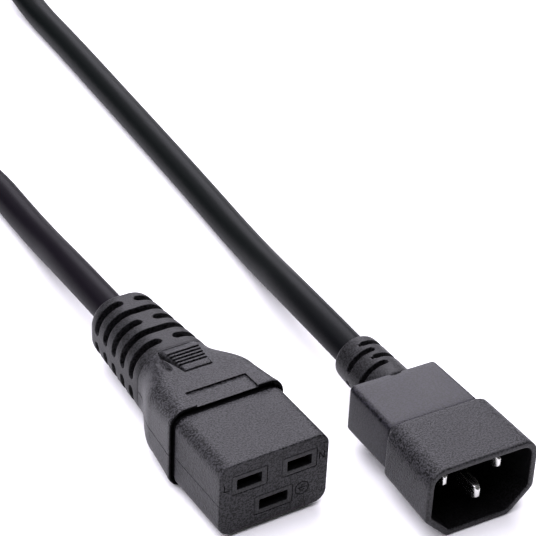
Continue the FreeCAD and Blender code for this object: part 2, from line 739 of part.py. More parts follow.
def plug_shell():
    """The outside of the plug: shroud, bevelled step, grip and slotted strain relief."""
    body = new_body("plug_shell")
    width, height, chamfer = size("shroudWidth"), size("shroudHeight"), size("shroudChamfer")
    length, taper, drop = size("shroudLength"), size("shroudTaper"), size("shroudDrop")
    shroud = plug_outline(width, height, chamfer)
    tapered_prism(body, "shroud", 0, length, drop, shroud, taper)
    round_edges(body, size("shroudCorner"), "shroud_upper_corners",
                edges_along([shroud[0], shroud[5]], drop, (0, length)))
    round_edges(body, size("shroudLowCorner"), "shroud_lower_corners",
                edges_along(shroud[1:5], drop, (0, length)))
    round_edges(body, size("rimEdge"), "rim_edge", lies_at(0))

    # A bevel drops from the shroud to the smaller grip, which narrows towards its rear face.
    grip_start = length + size("plugStep")
    grip_end = grip_start + size("plugGripLength")
    grip_drop = size("plugGripDrop")
    grip = plug_outline(size("plugGripWidth"), size("plugGripHeight"), size("plugGripChamfer"))
    tapered_prism(body, "grip", grip_start, size("plugGripLength"), grip_drop, grip,
                  size("plugGripTaper"))
    round_edges(body, size("plugGripCorner"), "grip_edges",
                edges_along(grip, grip_drop, (grip_start, grip_end)))
    inner = plug_outline(width - taper - size("plugStep"), height - size("plugStep"), chamfer)
    inset = plug_outline(size("plugGripWidth") - size("stepInset"),
                         size("plugGripHeight") - size("stepInset"), size("plugGripChamfer"))
    loft(body, [plug_section(body, "step_front", length, drop, inner),
                plug_section(body, "step_back", grip_start, grip_drop, inset)], "step", ruled=True)

    root = new_sketch(body, "relief_root", "XZ_Plane", grip_end)
    add_circle(root, size("plugBootRoot"))
    end = new_sketch(body, "relief_end", "XZ_Plane", plug_length)
    add_circle(end, size("plugBootEnd"))
    loft(body, [root, end], "strain_relief", ruled=True)
    round_edges(body, size("plugBootEdge"), "relief_end_edge", lies_at(plug_length))
    plug_slots(body, grip_end)
    relief_core(body, plug_length, size("plugBootLength") - size("plugBootEdge"),
                size("plugBootEdge"), size("plugReliefWall"))

    # The recess takes the connector, and its bottom holds the pin plate.
    depth = size("recessDepth")
    recess = plug_section(body, "recess_outline", 0, drop, recess_outline(0))
    pocket(body, recess, "recess", depth, reverse=False)
    corners = recess_outline(0)
    round_edges(body, size("recessCorner"), "recess_upper_corners",
                edges_along([corners[0], corners[5]], drop, (0, depth)))
    round_edges(body, size("recessLowCorner"), "recess_lower_corners",
                edges_along(corners[1:5], drop, (0, depth)))
    seat = plug_section(body, "plate_seat_outline", depth, drop, recess_outline(size("plateInset")))
    pocket(body, seat, "plate_seat", size("plateThickness"), reverse=False)
    return body


def recess_outline(inset):
    """The shroud's section, one wall and a further inset smaller."""
    wall = size("shroudWall") + inset
    chamfer = size("shroudChamfer") - wall * (2 - math.sqrt(2))
    return plug_outline(size("shroudWidth") - 2 * wall, size("shroudHeight") - 2 * wall, chamfer)


def plug_slots(body, boot_start):
    """Slots that come in turn from the right and from the left, and pass over the middle."""
    reach = size("plugBootRoot")
    over = size("plugSlotReach")
    half = size("plugSlotWidth") / 2
    cuts = []
    for i in range(int(number(size("plugSlots")))):
        left, right = (-reach, over) if i % 2 == 0 else (-over, reach)
        centre = (0, boot_start + size("plugSlotStart") + size("plugSlotPitch") * i)
        slot = new_sketch(body, f"slot_{i}", "XY_Plane", size("sideWeb") / 2, centre)
        add_polygon(slot, [(left, -half), (right, -half), (right, half), (left, half)])
        cuts.append(pocket(body, slot, f"slot_cut_{i}"))
    mirror = body.newObject("PartDesign::Mirrored", "slots_below")
    mirror.Originals = cuts
    mirror.MirrorPlane = ([f for f in body.Origin.OriginFeatures if f.Role == "XY_Plane"][0], [""])
    body.Tip = mirror
    doc.recompute()


def plug_poles():
    """Name, place across and up, and the setback of each pin's tip."""
    rise = size("pinRise")
    side = size("pinSpacing") / 2
    return [("line", -side, rise, size("pinSetback")), ("neutral", side, rise, size("pinSetback")),
            ("earth", 0, rise - size("pinEarthOffset"), size("earthPinSetback"))]


def plug_carrier(poles):
    """The plate at the bottom of the recess that holds the three pins."""
    body = new_body("pin_plate")
    outline = plug_section(body, "plate_outline", size("recessDepth"), size("shroudDrop"),
                           recess_outline(size("plateInset")))
    pad(body, outline, size("plateThickness"), "plate")
    holes = [box(f"pin_hole_{name}", size("pinWidth"), size("plateThickness"), size("pinHeight"),
                 (x, z), size("recessDepth")) for name, x, z, setback in poles]
    carrier = cut("c14_pin_carrier", body, fuse("pin_holes", holes))
    place(carrier, plug_base, size("plugTurn"))
    return carrier


def plug_pin(name, x, z, setback):
    """A flat pin with a bevelled tip, ending in a crimp barrel behind the plate."""
    body = new_body(f"c14_pin_{name}")
    bevel = 2 * size("pinBevel")
    tip = new_sketch(body, "tip_outline", "XZ_Plane", setback)
    add_rectangle(tip, size("pinWidth") - bevel / 2, size("pinHeight") - bevel)
    full = new_sketch(body, "full_outline", "XZ_Plane", setback + size("pinBevelLength"))
    add_rectangle(full, size("pinWidth"), size("pinHeight"))
    loft(body, [tip, full], "tip", ruled=True)
    shank = new_sketch(body, "shank_outline", "XZ_Plane", setback + size("pinBevelLength"))
    add_rectangle(shank, size("pinWidth"), size("pinHeight"))
    root = size("recessDepth") + size("plateThickness")
    pad(body, shank, root - setback - size("pinBevelLength"), "shank")
    barrel = new_sketch(body, "barrel_outline", "XZ_Plane", root)
    add_circle(barrel, size("crimpDiameter"))
    pad(body, barrel, size("crimpLength"), "barrel")
    bore = new_sketch(body, "barrel_bore", "XZ_Plane", root + size("crimpLength"))
    add_circle(bore, size("copperDiameter"))
    pocket(body, bore, "barrel_bore_cut", size("crimpLength") - size("contactSheet"))
    return body


def place_at_pole(item, x, z, base, turn):
    """Places a piece that was drawn about its own pole."""
    rotation = FreeCAD.Rotation(Vector(0, 0, 1), number(turn))
    shift = rotation.multVec(Vector(number(x), 0, number(z)))
    point = Vector(*[number(value) for value in base]) + shift
    item.Placement = FreeCAD.Placement(point, rotation)


# ---------------------------------------------------------------- cable

def on_plug(point):
    """A point of the plug's own frame, in the lead's frame."""
    rotation = FreeCAD.Rotation(Vector(0, 0, 1), number(size("plugTurn")))
    return Vector(*[number(value) for value in plug_base]) + rotation.multVec(point)


def coil_middle(height):
    return Vector(number(size("coilX")), number(size("coilY")), height)


def coil_strand():
    """Radius of the coil's outer turns, and how far a straight strand runs beside them."""
    diameter = number(size("cableDiameter"))
    radius = number(size("coilInner")) + diameter
    return radius, math.sqrt((radius + diameter) ** 2 - radius ** 2)


def cable_routes():
    """Corner points of the two uncoiled stretches, each from its connector to the coil."""
    rest = number(size("cableDiameter")) / 2
    upper = 3 * rest
    outer, strand = coil_strand()
    exit_c19 = Vector(0, number(connector_length) / 2, number(connector_base[2]))
    from_c19 = [exit_c19, exit_c19 + Vector(0, 23, 0), Vector(3.4, 92, rest), Vector(4.8, 128, rest),
                Vector(-6, 166, rest), Vector(-22, 204, rest), Vector(-31.4, 236, rest),
                coil_middle(rest) + Vector(-outer, -strand, 0)]
    exit_c14 = on_plug(Vector(0, number(plug_length), 0))
    from_c14 = [exit_c14, on_plug(Vector(0, number(plug_length) + 24, 0)), Vector(50, 56, rest),
                Vector(53.4, 94, rest), Vector(57, 142, rest), Vector(60.2, 186, rest),
                Vector(61.6, 214, rest), Vector(62.4, 246, upper),
                coil_middle(upper) + Vector(outer, -strand, 0)]
    return from_c19, from_c14


def rounded_path(points, inside):
    """Straight runs joined by tangent arcs, each arc as large as its two runs allow."""
    edges = []
    radii = []
    start = inside
    for before, corner, after in zip(points, points[1:], points[2:]):
        inward = (before - corner).normalize()
        onward = (after - corner).normalize()
        reach = 0.45 * min((before - corner).Length, (after - corner).Length)
        turn = math.pi - inward.getAngle(onward)
        radius = reach / math.tan(turn / 2)
        bisector = (inward + onward).normalize()
        centre = corner + bisector * (radius / math.cos(turn / 2))
        first = corner + inward * reach
        last = corner + onward * reach
        edges.append(Part.LineSegment(start, first).toShape())
        edges.append(Part.Arc(first, centre - bisector * radius, last).toShape())
        radii.append(radius)
        start = last
    edges.append(Part.LineSegment(start, points[-1]).toShape())
    return Part.Wire(edges), radii


def cable_tube(label, points, gripped):
    """The jacket, from where it is stripped inside the strain relief to the coil."""
    diameter = number(size("cableDiameter"))
    along = (points[1] - points[0]).normalize()
    inside = points[0] - along * gripped
    path, radii = rounded_path(points, inside)
    ring = Part.Wire(Part.Circle(inside, along, diameter / 2).toShape())
    tube = path.makePipeShell([ring], True, False)
    fullness = tube.Volume / (math.pi * diameter ** 2 / 4 * path.Length)
    print(f"{label}: {path.Length - gripped:.1f} mm outside, volume {fullness:.4f} of section x length")
    print("  radii " + ", ".join(f"{radius:.0f}" for radius in radii))
    return tube


def coil_shape():
    """The outer shape of the coil, with the two strands that leave it."""
    diameter = number(size("cableDiameter"))
    layers = number(size("coilLayers"))
    inner = number(size("coilInner")) - diameter / 2
    outer = inner + layers * diameter
    ring = Part.makeCylinder(outer, layers * diameter, coil_middle(0))
    ring = ring.cut(Part.makeCylinder(inner, layers * diameter, coil_middle(0)))
    ring = ring.makeChamfer(number(size("coilEdge")), [edge for edge in ring.Edges if edge.Closed])
    radius, strand = coil_strand()
    strands = [Part.makeCylinder(diameter / 2, strand, coil_middle(height) + Vector(side * radius, 0, 0),
                                 Vector(0, -1, 0))
               for side, height in ((-1, diameter / 2), (1, layers * diameter - diameter / 2))]
    return ring.fuse(strands).removeSplitter(), inner, outer


def solid_node(label, shape):
    """A piece that is set by its own shape, because its route is chosen by hand."""
    feature = doc.addObject("Part::Feature", label)
    feature.Label = label
    feature.Shape = shape
    keep(feature)
    return feature


def cable_pieces(gripped_c19, gripped_c14):
    """Two stretches of cable, the put-away coil between them, and the tie round the coil."""
    from_c19, from_c14 = cable_routes()
    first = cable_tube("cable_from_c19", from_c19, gripped_c19)
    second = cable_tube("cable_to_c14", from_c14, gripped_c14)
    whole, inner, outer = coil_shape()
    sheet_thickness = number(size("tieSheet"))
    width = number(size("tieWidth"))
    height = number(size("coilLayers")) * number(size("cableDiameter"))
    tie_corner = coil_middle(0) + Vector(-width / 2, inner - sheet_thickness, 0)
    under = Part.makeBox(width, outer - inner + 2 * sheet_thickness, sheet_thickness, tie_corner)
    coil = whole.cut(under)
    band = Part.makeBox(width, outer - inner + 2 * sheet_thickness, height + sheet_thickness, tie_corner)
    solid_node("cable_from_c19", first)
    solid_node("cable_to_c14", second)
    solid_node("cable_coil", coil)
    solid_node("coil_tie", band.cut(coil))


# ---------------------------------------------------------------- the whole lead

def build_connector():
    poles = connector_poles()
    shell = connector_shell()
    whole_carrier, carrier = connector_carrier(poles)
    place(carrier, connector_base)
    keep(carrier)
    for name, x, z, entry, tower in poles:
        keep(connector_contact(name, x, z, entry))
    base_rear = size("towerLength") + size("baseThickness")
    start = crimp_end(base_rear)
    cores, rooms = core_set("c19", [pole[:3] for pole in poles], start)
    for item, x, z in cores:
        place_core(item, x, z, connector_base)
        keep(item)
    stripped = jacket_start(base_rear)
    rooms.append(jacket_room("c19_jacket_room", stripped, connector_length))
    overmould = cut("c19_overmould", shell, fuse("c19_insert", [whole_carrier] + rooms))
    place(overmould, connector_base)
    keep(overmould)
    return number(connector_length - stripped)


def build_plug():
    poles = plug_poles()
    shell = plug_shell()
    keep(plug_carrier(poles))
    turn = size("plugTurn")
    for name, x, z, setback in poles:
        pin = plug_pin(name, x, z, setback)
        place_at_pole(pin, x, z, plug_base, turn)
        keep(pin)
    plate_rear = size("recessDepth") + size("plateThickness")
    start = crimp_end(plate_rear)
    cores, rooms = core_set("c14", [pole[:3] for pole in poles], start)
    for item, x, z in cores:
        place_core(item, x, z, plug_base, turn)
        keep(item)
    stripped = jacket_start(plate_rear)
    rooms.append(jacket_room("c14_jacket_room", stripped, plug_length))
    overmould = cut("c14_overmould", shell, fuse("c14_insert", rooms))
    place(overmould, plug_base, turn)
    keep(overmould)
    return number(plug_length - stripped)


cable_pieces(build_connector(), build_plug())
doc.recompute()

for item in doc.Objects:
    assert not {"Invalid", "Error"} & set(item.State), f"{item.Label} failed: {item.State}"
for label, item in nodes.items():
    assert not item.Shape.isNull() and item.Shape.isValid(), f"{label} has no valid shape"
    assert len(item.Shape.Solids) == 1, f"{label} has {len(item.Shape.Solids)} solids"

os.makedirs("parts", exist_ok=True)
for label, item in nodes.items():
    item.Shape.exportStep(f"parts/{label}.step")
print(f"{len(nodes)} pieces written")
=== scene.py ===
import bmesh
import bpy
import math
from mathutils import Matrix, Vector


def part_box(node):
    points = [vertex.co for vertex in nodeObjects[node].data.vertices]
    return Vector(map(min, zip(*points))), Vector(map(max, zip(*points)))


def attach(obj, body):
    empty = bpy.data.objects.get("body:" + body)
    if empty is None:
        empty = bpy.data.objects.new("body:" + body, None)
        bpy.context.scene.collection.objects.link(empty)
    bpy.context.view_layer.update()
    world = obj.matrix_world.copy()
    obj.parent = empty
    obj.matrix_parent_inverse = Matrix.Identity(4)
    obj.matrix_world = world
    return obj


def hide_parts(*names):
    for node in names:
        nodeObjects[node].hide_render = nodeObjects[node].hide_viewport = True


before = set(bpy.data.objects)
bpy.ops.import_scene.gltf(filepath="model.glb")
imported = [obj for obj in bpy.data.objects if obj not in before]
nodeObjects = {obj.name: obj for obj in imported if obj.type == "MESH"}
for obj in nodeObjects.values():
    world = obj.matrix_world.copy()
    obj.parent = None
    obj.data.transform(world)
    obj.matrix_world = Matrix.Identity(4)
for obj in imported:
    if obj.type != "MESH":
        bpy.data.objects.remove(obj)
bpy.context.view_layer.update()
mm = 0.001
poles = ("line", "neutral", "earth")
print("frame loaded")


class Wire:
    # one value socket, so that maths on it reads as plain maths
    def __init__(self, bench, socket):
        self.bench, self.socket = bench, socket

    def maths(self, operation, *values):
        return self.bench.node("ShaderNodeMath", {"operation": operation}, *values)[0]

    def __add__(self, other):
        return self.maths("ADD", self, other)

    __radd__ = __add__

    def __mul__(self, other):
        return self.maths("MULTIPLY", self, other)

    __rmul__ = __mul__

    def __gt__(self, other):
        return self.maths("GREATER_THAN", self, other)

    def sine(self):
        return self.maths("SINE", self)

    def ease(self, low, high):
        # 0 at low, 1 at high, smooth between
        settings = {"interpolation_type": "SMOOTHSTEP"}
        return self.bench.node("ShaderNodeMapRange", settings, self, low, high)[0]


class Bench:
    # one material being built
    def __init__(self, name):
        self.material = bpy.data.materials.new(name)
        self.material.use_nodes = True
        self.tree = self.material.node_tree
        self.tree.nodes.clear()
        self.shader = self.tree.nodes.new("ShaderNodeBsdfPrincipled")
        output = self.tree.nodes.new("ShaderNodeOutputMaterial")
        self.tree.links.new(self.shader.outputs[0], output.inputs["Surface"])

    def connect(self, socket, value):
        if isinstance(value, Wire):
            self.tree.links.new(value.socket, socket)
        else:
            socket.default_value = value

    def node(self, kind, settings=None, *values, **named):
        made = self.tree.nodes.new(kind)
        for key, value in (settings or {}).items():
            setattr(made, key, value)
        for i, value in enumerate(values):
            self.connect(made.inputs[i], value)
        for key, value in named.items():
            self.connect(made.inputs[key], value)
        return [Wire(self, socket) for socket in made.outputs]

    def place(self):
        # object coordinates, in metres
        return self.node("ShaderNodeTexCoord")[3]

    def axes(self, place):
        return self.node("ShaderNodeSeparateXYZ", None, place)

    def noise(self, place, scale, detail=2.0, roughness=0.5):
        return self.node("ShaderNodeTexNoise", None, Vector=place, Scale=scale, Detail=detail,
                         Roughness=roughness)[0]

    def mix(self, share, first, second):
        made = self.tree.nodes.new("ShaderNodeMix")
        made.data_type = "RGBA"
        # of the node's many inputs, these are the factor and the two colours
        for index, value in ((0, share), (6, first), (7, second)):
            self.connect(made.inputs[index], value)
        return Wire(self, made.outputs[2])

    def bump(self, height, distance):
        return self.node("ShaderNodeBump", None, Distance=distance, Height=height)[0]

    def feed(self, **inputs):
        for name, value in inputs.items():
            self.connect(self.shader.inputs[name.replace("_", " ")], value)
        return self.material


def grey(value, warm=0.0, cool=0.0):
    return (value * (1 + warm), value, value * (1 + cool), 1)


mouldedFinish = {
    "grain": 2300, "fineGrain": 4200, "grainShare": 0.65, "speck": (0.41, 0.59), "contrast": 0.98,
    "broad": 90, "broadRoughness": 0.08, "speckRoughness": 0.10, "meanRoughness": 0.09,
    "warm": 0.3, "cool": 2,
}


def mouldedMaterial(name, shade, grainDepth, roughness, specular, tint=0.05):
    # matt plastic with the grain of a spark-eroded mould
    spec = mouldedFinish
    bench = Bench(name)
    place = bench.place()
    coarse = bench.noise(place, spec["grain"], 1.0)
    fine = bench.noise(place, spec["fineGrain"], 2.0, 0.6)
    broad = bench.noise(place, spec["broad"])
    grain = coarse * spec["grainShare"] + fine * (1 - spec["grainShare"])
    speck = grain.ease(*spec["speck"])
    dark, light = [grey(shade * (1 + side * spec["contrast"]), tint * spec["warm"], tint * spec["cool"])
                   for side in (-1, 1)]
    rough = (broad * spec["broadRoughness"] + speck * spec["speckRoughness"]
             + (roughness - spec["meanRoughness"]))
    return bench.feed(Base_Color=bench.mix(speck, dark, light), Roughness=rough,
                      Normal=bench.bump(grain, grainDepth * mm), Specular_IOR_Level=specular)


cableFinish = {
    "nearC19": (0.0026, 0.0016, 0.0036, 1), "nearC14": (0.0016, 0.0026, 0.0025, 1), "border": (0.02, 0.05),
    "cloud": 60, "cloudColour": (0.003, 0.003, 0.004, 1), "cloudShare": 0.25, "cloudRoughness": 0.05,
    "roughness": 0.40, "specular": 0.04, "grain": 1800, "grainDepth": 0.008,
}


def cableMaterial():
    # smooth pressed jacket with a soft cloudy sheen, a little greener toward the plug
    spec = cableFinish
    bench = Bench("cableJacket")
    place = bench.place()
    x = bench.axes(place)[0]
    cloud = bench.noise(place, spec["cloud"])
    near = bench.mix(x.ease(*spec["border"]), spec["nearC19"], spec["nearC14"])
    return bench.feed(Base_Color=bench.mix(cloud * spec["cloudShare"], near, spec["cloudColour"]),
                      Roughness=cloud * spec["cloudRoughness"] + spec["roughness"],
                      Normal=bench.bump(bench.noise(place, spec["grain"]), spec["grainDepth"] * mm),
                      Specular_IOR_Level=spec["specular"])


plainFinish = {"darker": 0.72, "darkShare": 0.35, "roughnessSpread": 0.12, "detail": 3.0}


def plainMaterial(name, colour, roughness, metallic=0.0, grain=900, depth=0.006):
    spec = plainFinish
    bench = Bench(name)
    fine = bench.noise(bench.place(), grain, spec["detail"])
    darker = tuple(spec["darker"] * part for part in colour) + (1,)
    spread = spec["roughnessSpread"]
    return bench.feed(Base_Color=bench.mix(fine * spec["darkShare"], (*colour, 1), darker),
                      Roughness=fine * spread + (roughness - spread / 2), Metallic=metallic,
                      Normal=bench.bump(fine, depth * mm))


def strandedMaterial():
    # bare copper strands, twisted along the core
    bench = Bench("strandedCopper")
    twist = coreWave(bench, 9000)
    shade = bench.mix(twist * 0.3 + 0.5, (0.62, 0.28, 0.15, 1), (0.90, 0.50, 0.32, 1))
    return bench.feed(Base_Color=shade, Roughness=0.32, Metallic=1.0, Normal=bench.bump(twist, 0.03 * mm))


def earthInsulation():
    # yellow and green stripes along the core
    bench = Bench("earthInsulation")
    shade = bench.mix(coreWave(bench, 1500) > 0.0, (0.62, 0.55, 0.04, 1), (0.05, 0.30, 0.06, 1))
    return bench.feed(Base_Color=shade, Roughness=0.38)


def coreWave(bench, across):
    # a wave that winds round a core: three times as dense across as along
    x, y, z = bench.axes(bench.place())
    return ((x + z) * across + y * (across / 3)).sine()


materials = {
    "moulded": mouldedMaterial("mouldedBody", shade=0.0165, grainDepth=0.20, roughness=0.42, specular=0.125),
    "smooth": mouldedMaterial("polishedGrip", shade=0.0105, grainDepth=0.03, roughness=0.40, specular=0.14,
                              tint=0.14),
    "boot": mouldedMaterial("ribbedBoot", shade=0.0085, grainDepth=0.12, roughness=0.45, specular=0.12),
    "inner": mouldedMaterial("innerMoulding", shade=0.012, grainDepth=0.05, roughness=0.48, specular=0.22),
    # near-black finish: painted shade for the plug's recess, the gap at the collar, the blade entries and
    # the pad's undercut flank
    "recess": mouldedMaterial("recessPaintedShade", shade=0.003, grainDepth=0.02, roughness=0.60, specular=0.06),
    "cable": cableMaterial(),
    "nickel": plainMaterial("nickelPins", (0.64, 0.64, 0.62), 0.24, metallic=1.0, grain=700, depth=0.004),
    "brass": plainMaterial("contactBrass", (0.55, 0.42, 0.20), 0.38, metallic=1.0),
    "copper": strandedMaterial(),
    "line": plainMaterial("lineInsulation", (0.16, 0.07, 0.035), 0.38),
    "neutral": plainMaterial("neutralInsulation", (0.03, 0.16, 0.45), 0.38),
    "earth": earthInsulation(),
    "tie": plainMaterial("tieFabric", (0.011, 0.011, 0.013), 0.85, grain=1500, depth=0.12),
}
print("finishes made")


mergeDistance = 1e-7  # metres


def addObject(name, data):
    made = bpy.data.objects.new(name, data)
    bpy.context.scene.collection.objects.link(made)
    return made


def makeObject(name, points, faces, finish, smooth=True):
    mesh = bpy.data.meshes.new(name)
    mesh.from_pydata([tuple(part * mm for part in point) for point in points], [], faces)
    made = addObject(name, mesh)
    shape = bmesh.new()
    shape.from_mesh(mesh)
    bmesh.ops.remove_doubles(shape, verts=shape.verts, dist=mergeDistance)
    bmesh.ops.recalc_face_normals(shape, faces=shape.faces)
    shape.to_mesh(mesh)
    shape.free()
    mesh.materials.append(materials[finish])
    mesh.polygons.foreach_set("use_smooth", [smooth] * len(mesh.polygons))
    return made


def finished(made):
    # modifiers applied: the evaluated shape becomes the object's own mesh
    depsgraph = bpy.context.evaluated_depsgraph_get()
    depsgraph.update()
    mesh = bpy.data.meshes.new_from_object(made.evaluated_get(depsgraph))
    old = made.data
    made.modifiers.clear()
    made.data = mesh
    if old.users == 0:
        bpy.data.meshes.remove(old)
    mesh.name = made.name
    return made


def ringLoft(name, rings, finish, smooth=True, finishes=()):
    # closed skin through rings of equal count, with a fan at both ends; finishes gives the first ring and
    # the finish of each stretch that has another one, the rear fan going with the last
    count = len(rings[0])
    points = [point for ring in rings for point in ring]
    faces = []
    for row in range(len(rings) - 1):
        for i in range(count):
            near, far = row * count, (row + 1) * count
            j = (i + 1) % count
            faces.append((near + i, near + j, far + j, far + i))
    for first, ring in ((0, rings[0]), ((len(rings) - 1) * count, rings[-1])):
        middle = Vector((0, 0, 0))
        for point in ring:
            middle += Vector(point) / count
        points.append(tuple(middle))
        faces += [(first + i, first + (i + 1) % count, len(points) - 1) for i in range(count)]
    made = makeObject(name, points, faces, finish, smooth)
    for index, (start, other) in enumerate(finishes):
        made.data.materials.append(materials[other])
        for face in made.data.polygons:
            row = face.index // count
            frontFan = row == len(rings) - 1
            if row >= start and not frontFan:
                face.material_index = index + 1
    return made


def subdivide(made, levels):
    step = made.modifiers.new("rounding", "SUBSURF")
    step.levels = step.render_levels = levels
    return finished(made)


def carve(made, other):
    step = made.modifiers.new("carving", "BOOLEAN")
    step.operation, step.object, step.solver = "DIFFERENCE", other, "EXACT"
    finished(made)
    bpy.data.objects.remove(other)


def bevel(made, width, angle):
    step = made.modifiers.new("edges", "BEVEL")
    step.width, step.segments = width * mm, 2
    step.limit_method, step.angle_limit = "ANGLE", math.radians(angle)
    return finished(made)


def shadeByAngle(made, angle=35):
    # flat faces stay flat where they meet at a sharp edge
    mesh = made.data
    shape = bmesh.new()
    shape.from_mesh(mesh)
    for edge in shape.edges:
        edge.smooth = len(edge.link_faces) == 2 and edge.calc_face_angle(0) < math.radians(angle)
    for face in shape.faces:
        face.smooth = True
    shape.to_mesh(mesh)
    shape.free()
    return made


def quarterPoint(travel, width, height, corner):
    # a point on a quarter of a rounded rectangle, from the middle of its top round to its side
    flat = width / 2 - corner
    arc = corner * math.pi / 2
    if travel <= flat:
        return travel, height / 2
    if travel <= flat + arc:
        turn = (travel - flat) / corner
        return flat + corner * math.sin(turn), height / 2 - corner + corner * math.cos(turn)
    return width / 2, height / 2 - corner - (travel - flat - arc)


def quarterLength(width, height, corner):
    return width / 2 + height / 2 - 2 * corner + corner * math.pi / 2


def aroundTop(quarter):
    # the lines of one quarter, as travels round the whole outline: (travel, right, up)
    lines = [(travel, 1, 1) for travel in quarter]
    lines += [(travel, 1, -1) for travel in reversed(quarter[:-1])]
    lines += [(travel, -1, -1) for travel in quarter[1:]]
    lines += [(travel, -1, 1) for travel in reversed(quarter[1:-1])]
    return lines


def circle(count):
    return [2 * math.pi * i / count for i in range(count)]


def spread(start, end, count):
    return [start + (end - start) * i / count for i in range(1, count + 1)]


def easeInOut(value):
    return value * value * (3 - 2 * value)


def between(first, second, share):
    return tuple(a + (b - a) * share for a, b in zip(first, second))


reliefGrid = {
    # distances from a slot's end, and offsets from a slot's middle in half widths
    "nearEnd": (-0.60, -0.27, -0.06, 0.0, 0.08, 0.30, 0.66, 1.0),
    "across": (-1.30, -1.06, -1.0, -0.95, -0.72, 0.0, 0.72, 0.95, 1.0, 1.06, 1.30),
    # a slot's blunt tip: (distance inside its end, half width there), then how fast the lines part beyond
    "tip": (0.04, 0.28), "parting": (0.05, 0.7),
    # the rim lies a little below the skin, everything inside it goes down to the core
    "rim": 0.22, "rimReach": 0.02, "rimAcross": 0.97, "lastAcross": 1.01, "deep": 9.0, "flattest": 0.02,
    # the mouth of the cable's hole: (how far in, how much wider), then the ring that closes it
    "mouth": ((0.0, 0.5), (0.0, 0.2), (0.2, 0.0), (1.2, 0.0)), "closing": (1.2, 0.4),
}


def reliefAt(y, spec):
    start = spec["reliefStart"]
    return between(spec["reliefRoot"], spec["reliefEnd"], (y - start) / (spec["length"] - start))


def reliefQuarter(outline, spec):
    # travels of one quarter, dense beside the ends of the slots
    whole = quarterLength(*outline)
    steps = reliefGrid["nearEnd"]
    if spec["passesTop"]:
        top = [0.0] + [spec["topEnd"] - step for step in reversed(steps)]
    else:
        top = [0.0] + [spec["topEnd"] + step for step in steps]
    side = [whole - spec["sideWeb"] / 2 - step for step in reversed(steps)] + [whole]
    return top + spread(top[-1], side[0], spec["middleLines"])[:-1] + side


def slotReach(distance):
    # half width of a slot at this distance inside its end, in half widths of the slot
    tip, blunt = reliefGrid["tip"]
    if distance >= 1.0:
        return 1.0
    if distance > tip:
        return math.sqrt(1 - (1 - distance) ** 2)
    start, length = reliefGrid["parting"]
    return min(1.0, blunt + (1 - blunt) * max(0.0, (-distance - start) / length))


def slotSpans(row, whole, spec):
    # (from, to) of each slot in a row, as signed travels
    reach = whole - spec["sideWeb"] / 2
    return [(first or -reach, last or reach) for first, last in spec["slots"][row % 2]]


def slottedRings(spec):
    grid = reliefGrid
    rings = []
    places = [(spec["slotsFrom"], None, 0.0)]
    half = spec["slotWidth"] / 2
    for row in range(spec["slotRows"]):
        middle = spec["slotStart"] + spec["slotPitch"] * row
        places += [(middle, row, across) for across in grid["across"]]
        places.append((middle + spec["slotPitch"] / 2, None, 0.0))
    for place, row, across in places:
        here = reliefAt(place, spec)
        whole = quarterLength(*here)
        ring = []
        for travel, right, up in aroundTop(reliefQuarter(here, spec)):
            inside = -grid["deep"]
            if row is not None:
                for first, last in slotSpans(row, whole, spec):
                    inside = max(inside, min(travel * right - first, last - travel * right))
            inner = min(1.0, abs(across)) * slotReach(inside / half)
            y = place + math.copysign(inner + max(0.0, abs(across) - 1.0), across) * half
            x, z = quarterPoint(travel, *reliefAt(y, spec))
            depth = 0.0
            if inside > -grid["rimReach"] and abs(across) < grid["lastAcross"]:
                onRim = inside < grid["rimReach"] or abs(across) > grid["rimAcross"]
                depth = grid["rim"] if onRim else grid["deep"]
            reach = math.hypot(x, z)
            # down to a round core, or to the flat of the web along each side
            floor = max(spec["coreRadius"], spec["sideWeb"] / 2 / max(grid["flattest"], z / reach))
            share = max(floor, reach - depth) / reach if depth and reach > floor else 1.0
            ring.append((x * share * right, y, z * share * up))
        rings.append(ring)
    return rings


def roundedEnd(spec, steps=5):
    # rings that round off the relief's end, cross the end face and turn into the cable's hole
    y, edge, hole = spec["length"], spec["endEdge"], spec["cableHole"]
    made = []
    for i in range(steps + 1):
        turn = math.pi / 2 * i / steps
        drop = edge * (1 - math.cos(turn))
        made.append(reliefRing(y - edge * (1 - math.sin(turn)), drop, spec))
    rim = reliefRing(y, edge, spec)
    inward, closed = reliefGrid["closing"]
    mouth = [(y - depth, hole + wider) for depth, wider in reliefGrid["mouth"]] + [(y - inward, closed)]
    for place, radius in mouth:
        made.append([(x * radius / math.hypot(x, z), place, z * radius / math.hypot(x, z))
                     for x, _, z in rim])
    return made


def reliefRing(y, drop, spec):
    # a ring at y, with the outline of the relief's end smaller by drop on all sides
    width, height, corner = reliefAt(spec["length"], spec)
    shape = (width - 2 * drop, height - 2 * drop, corner - drop)
    return ringAt(y, shape, reliefQuarter(shape, spec))


def ringAt(y, outline, quarter, rise=0.0):
    ring = []
    for travel, right, up in aroundTop(quarter):
        x, z = quarterPoint(travel, *outline)
        ring.append((x * right, y, z * up + rise))
    return ring


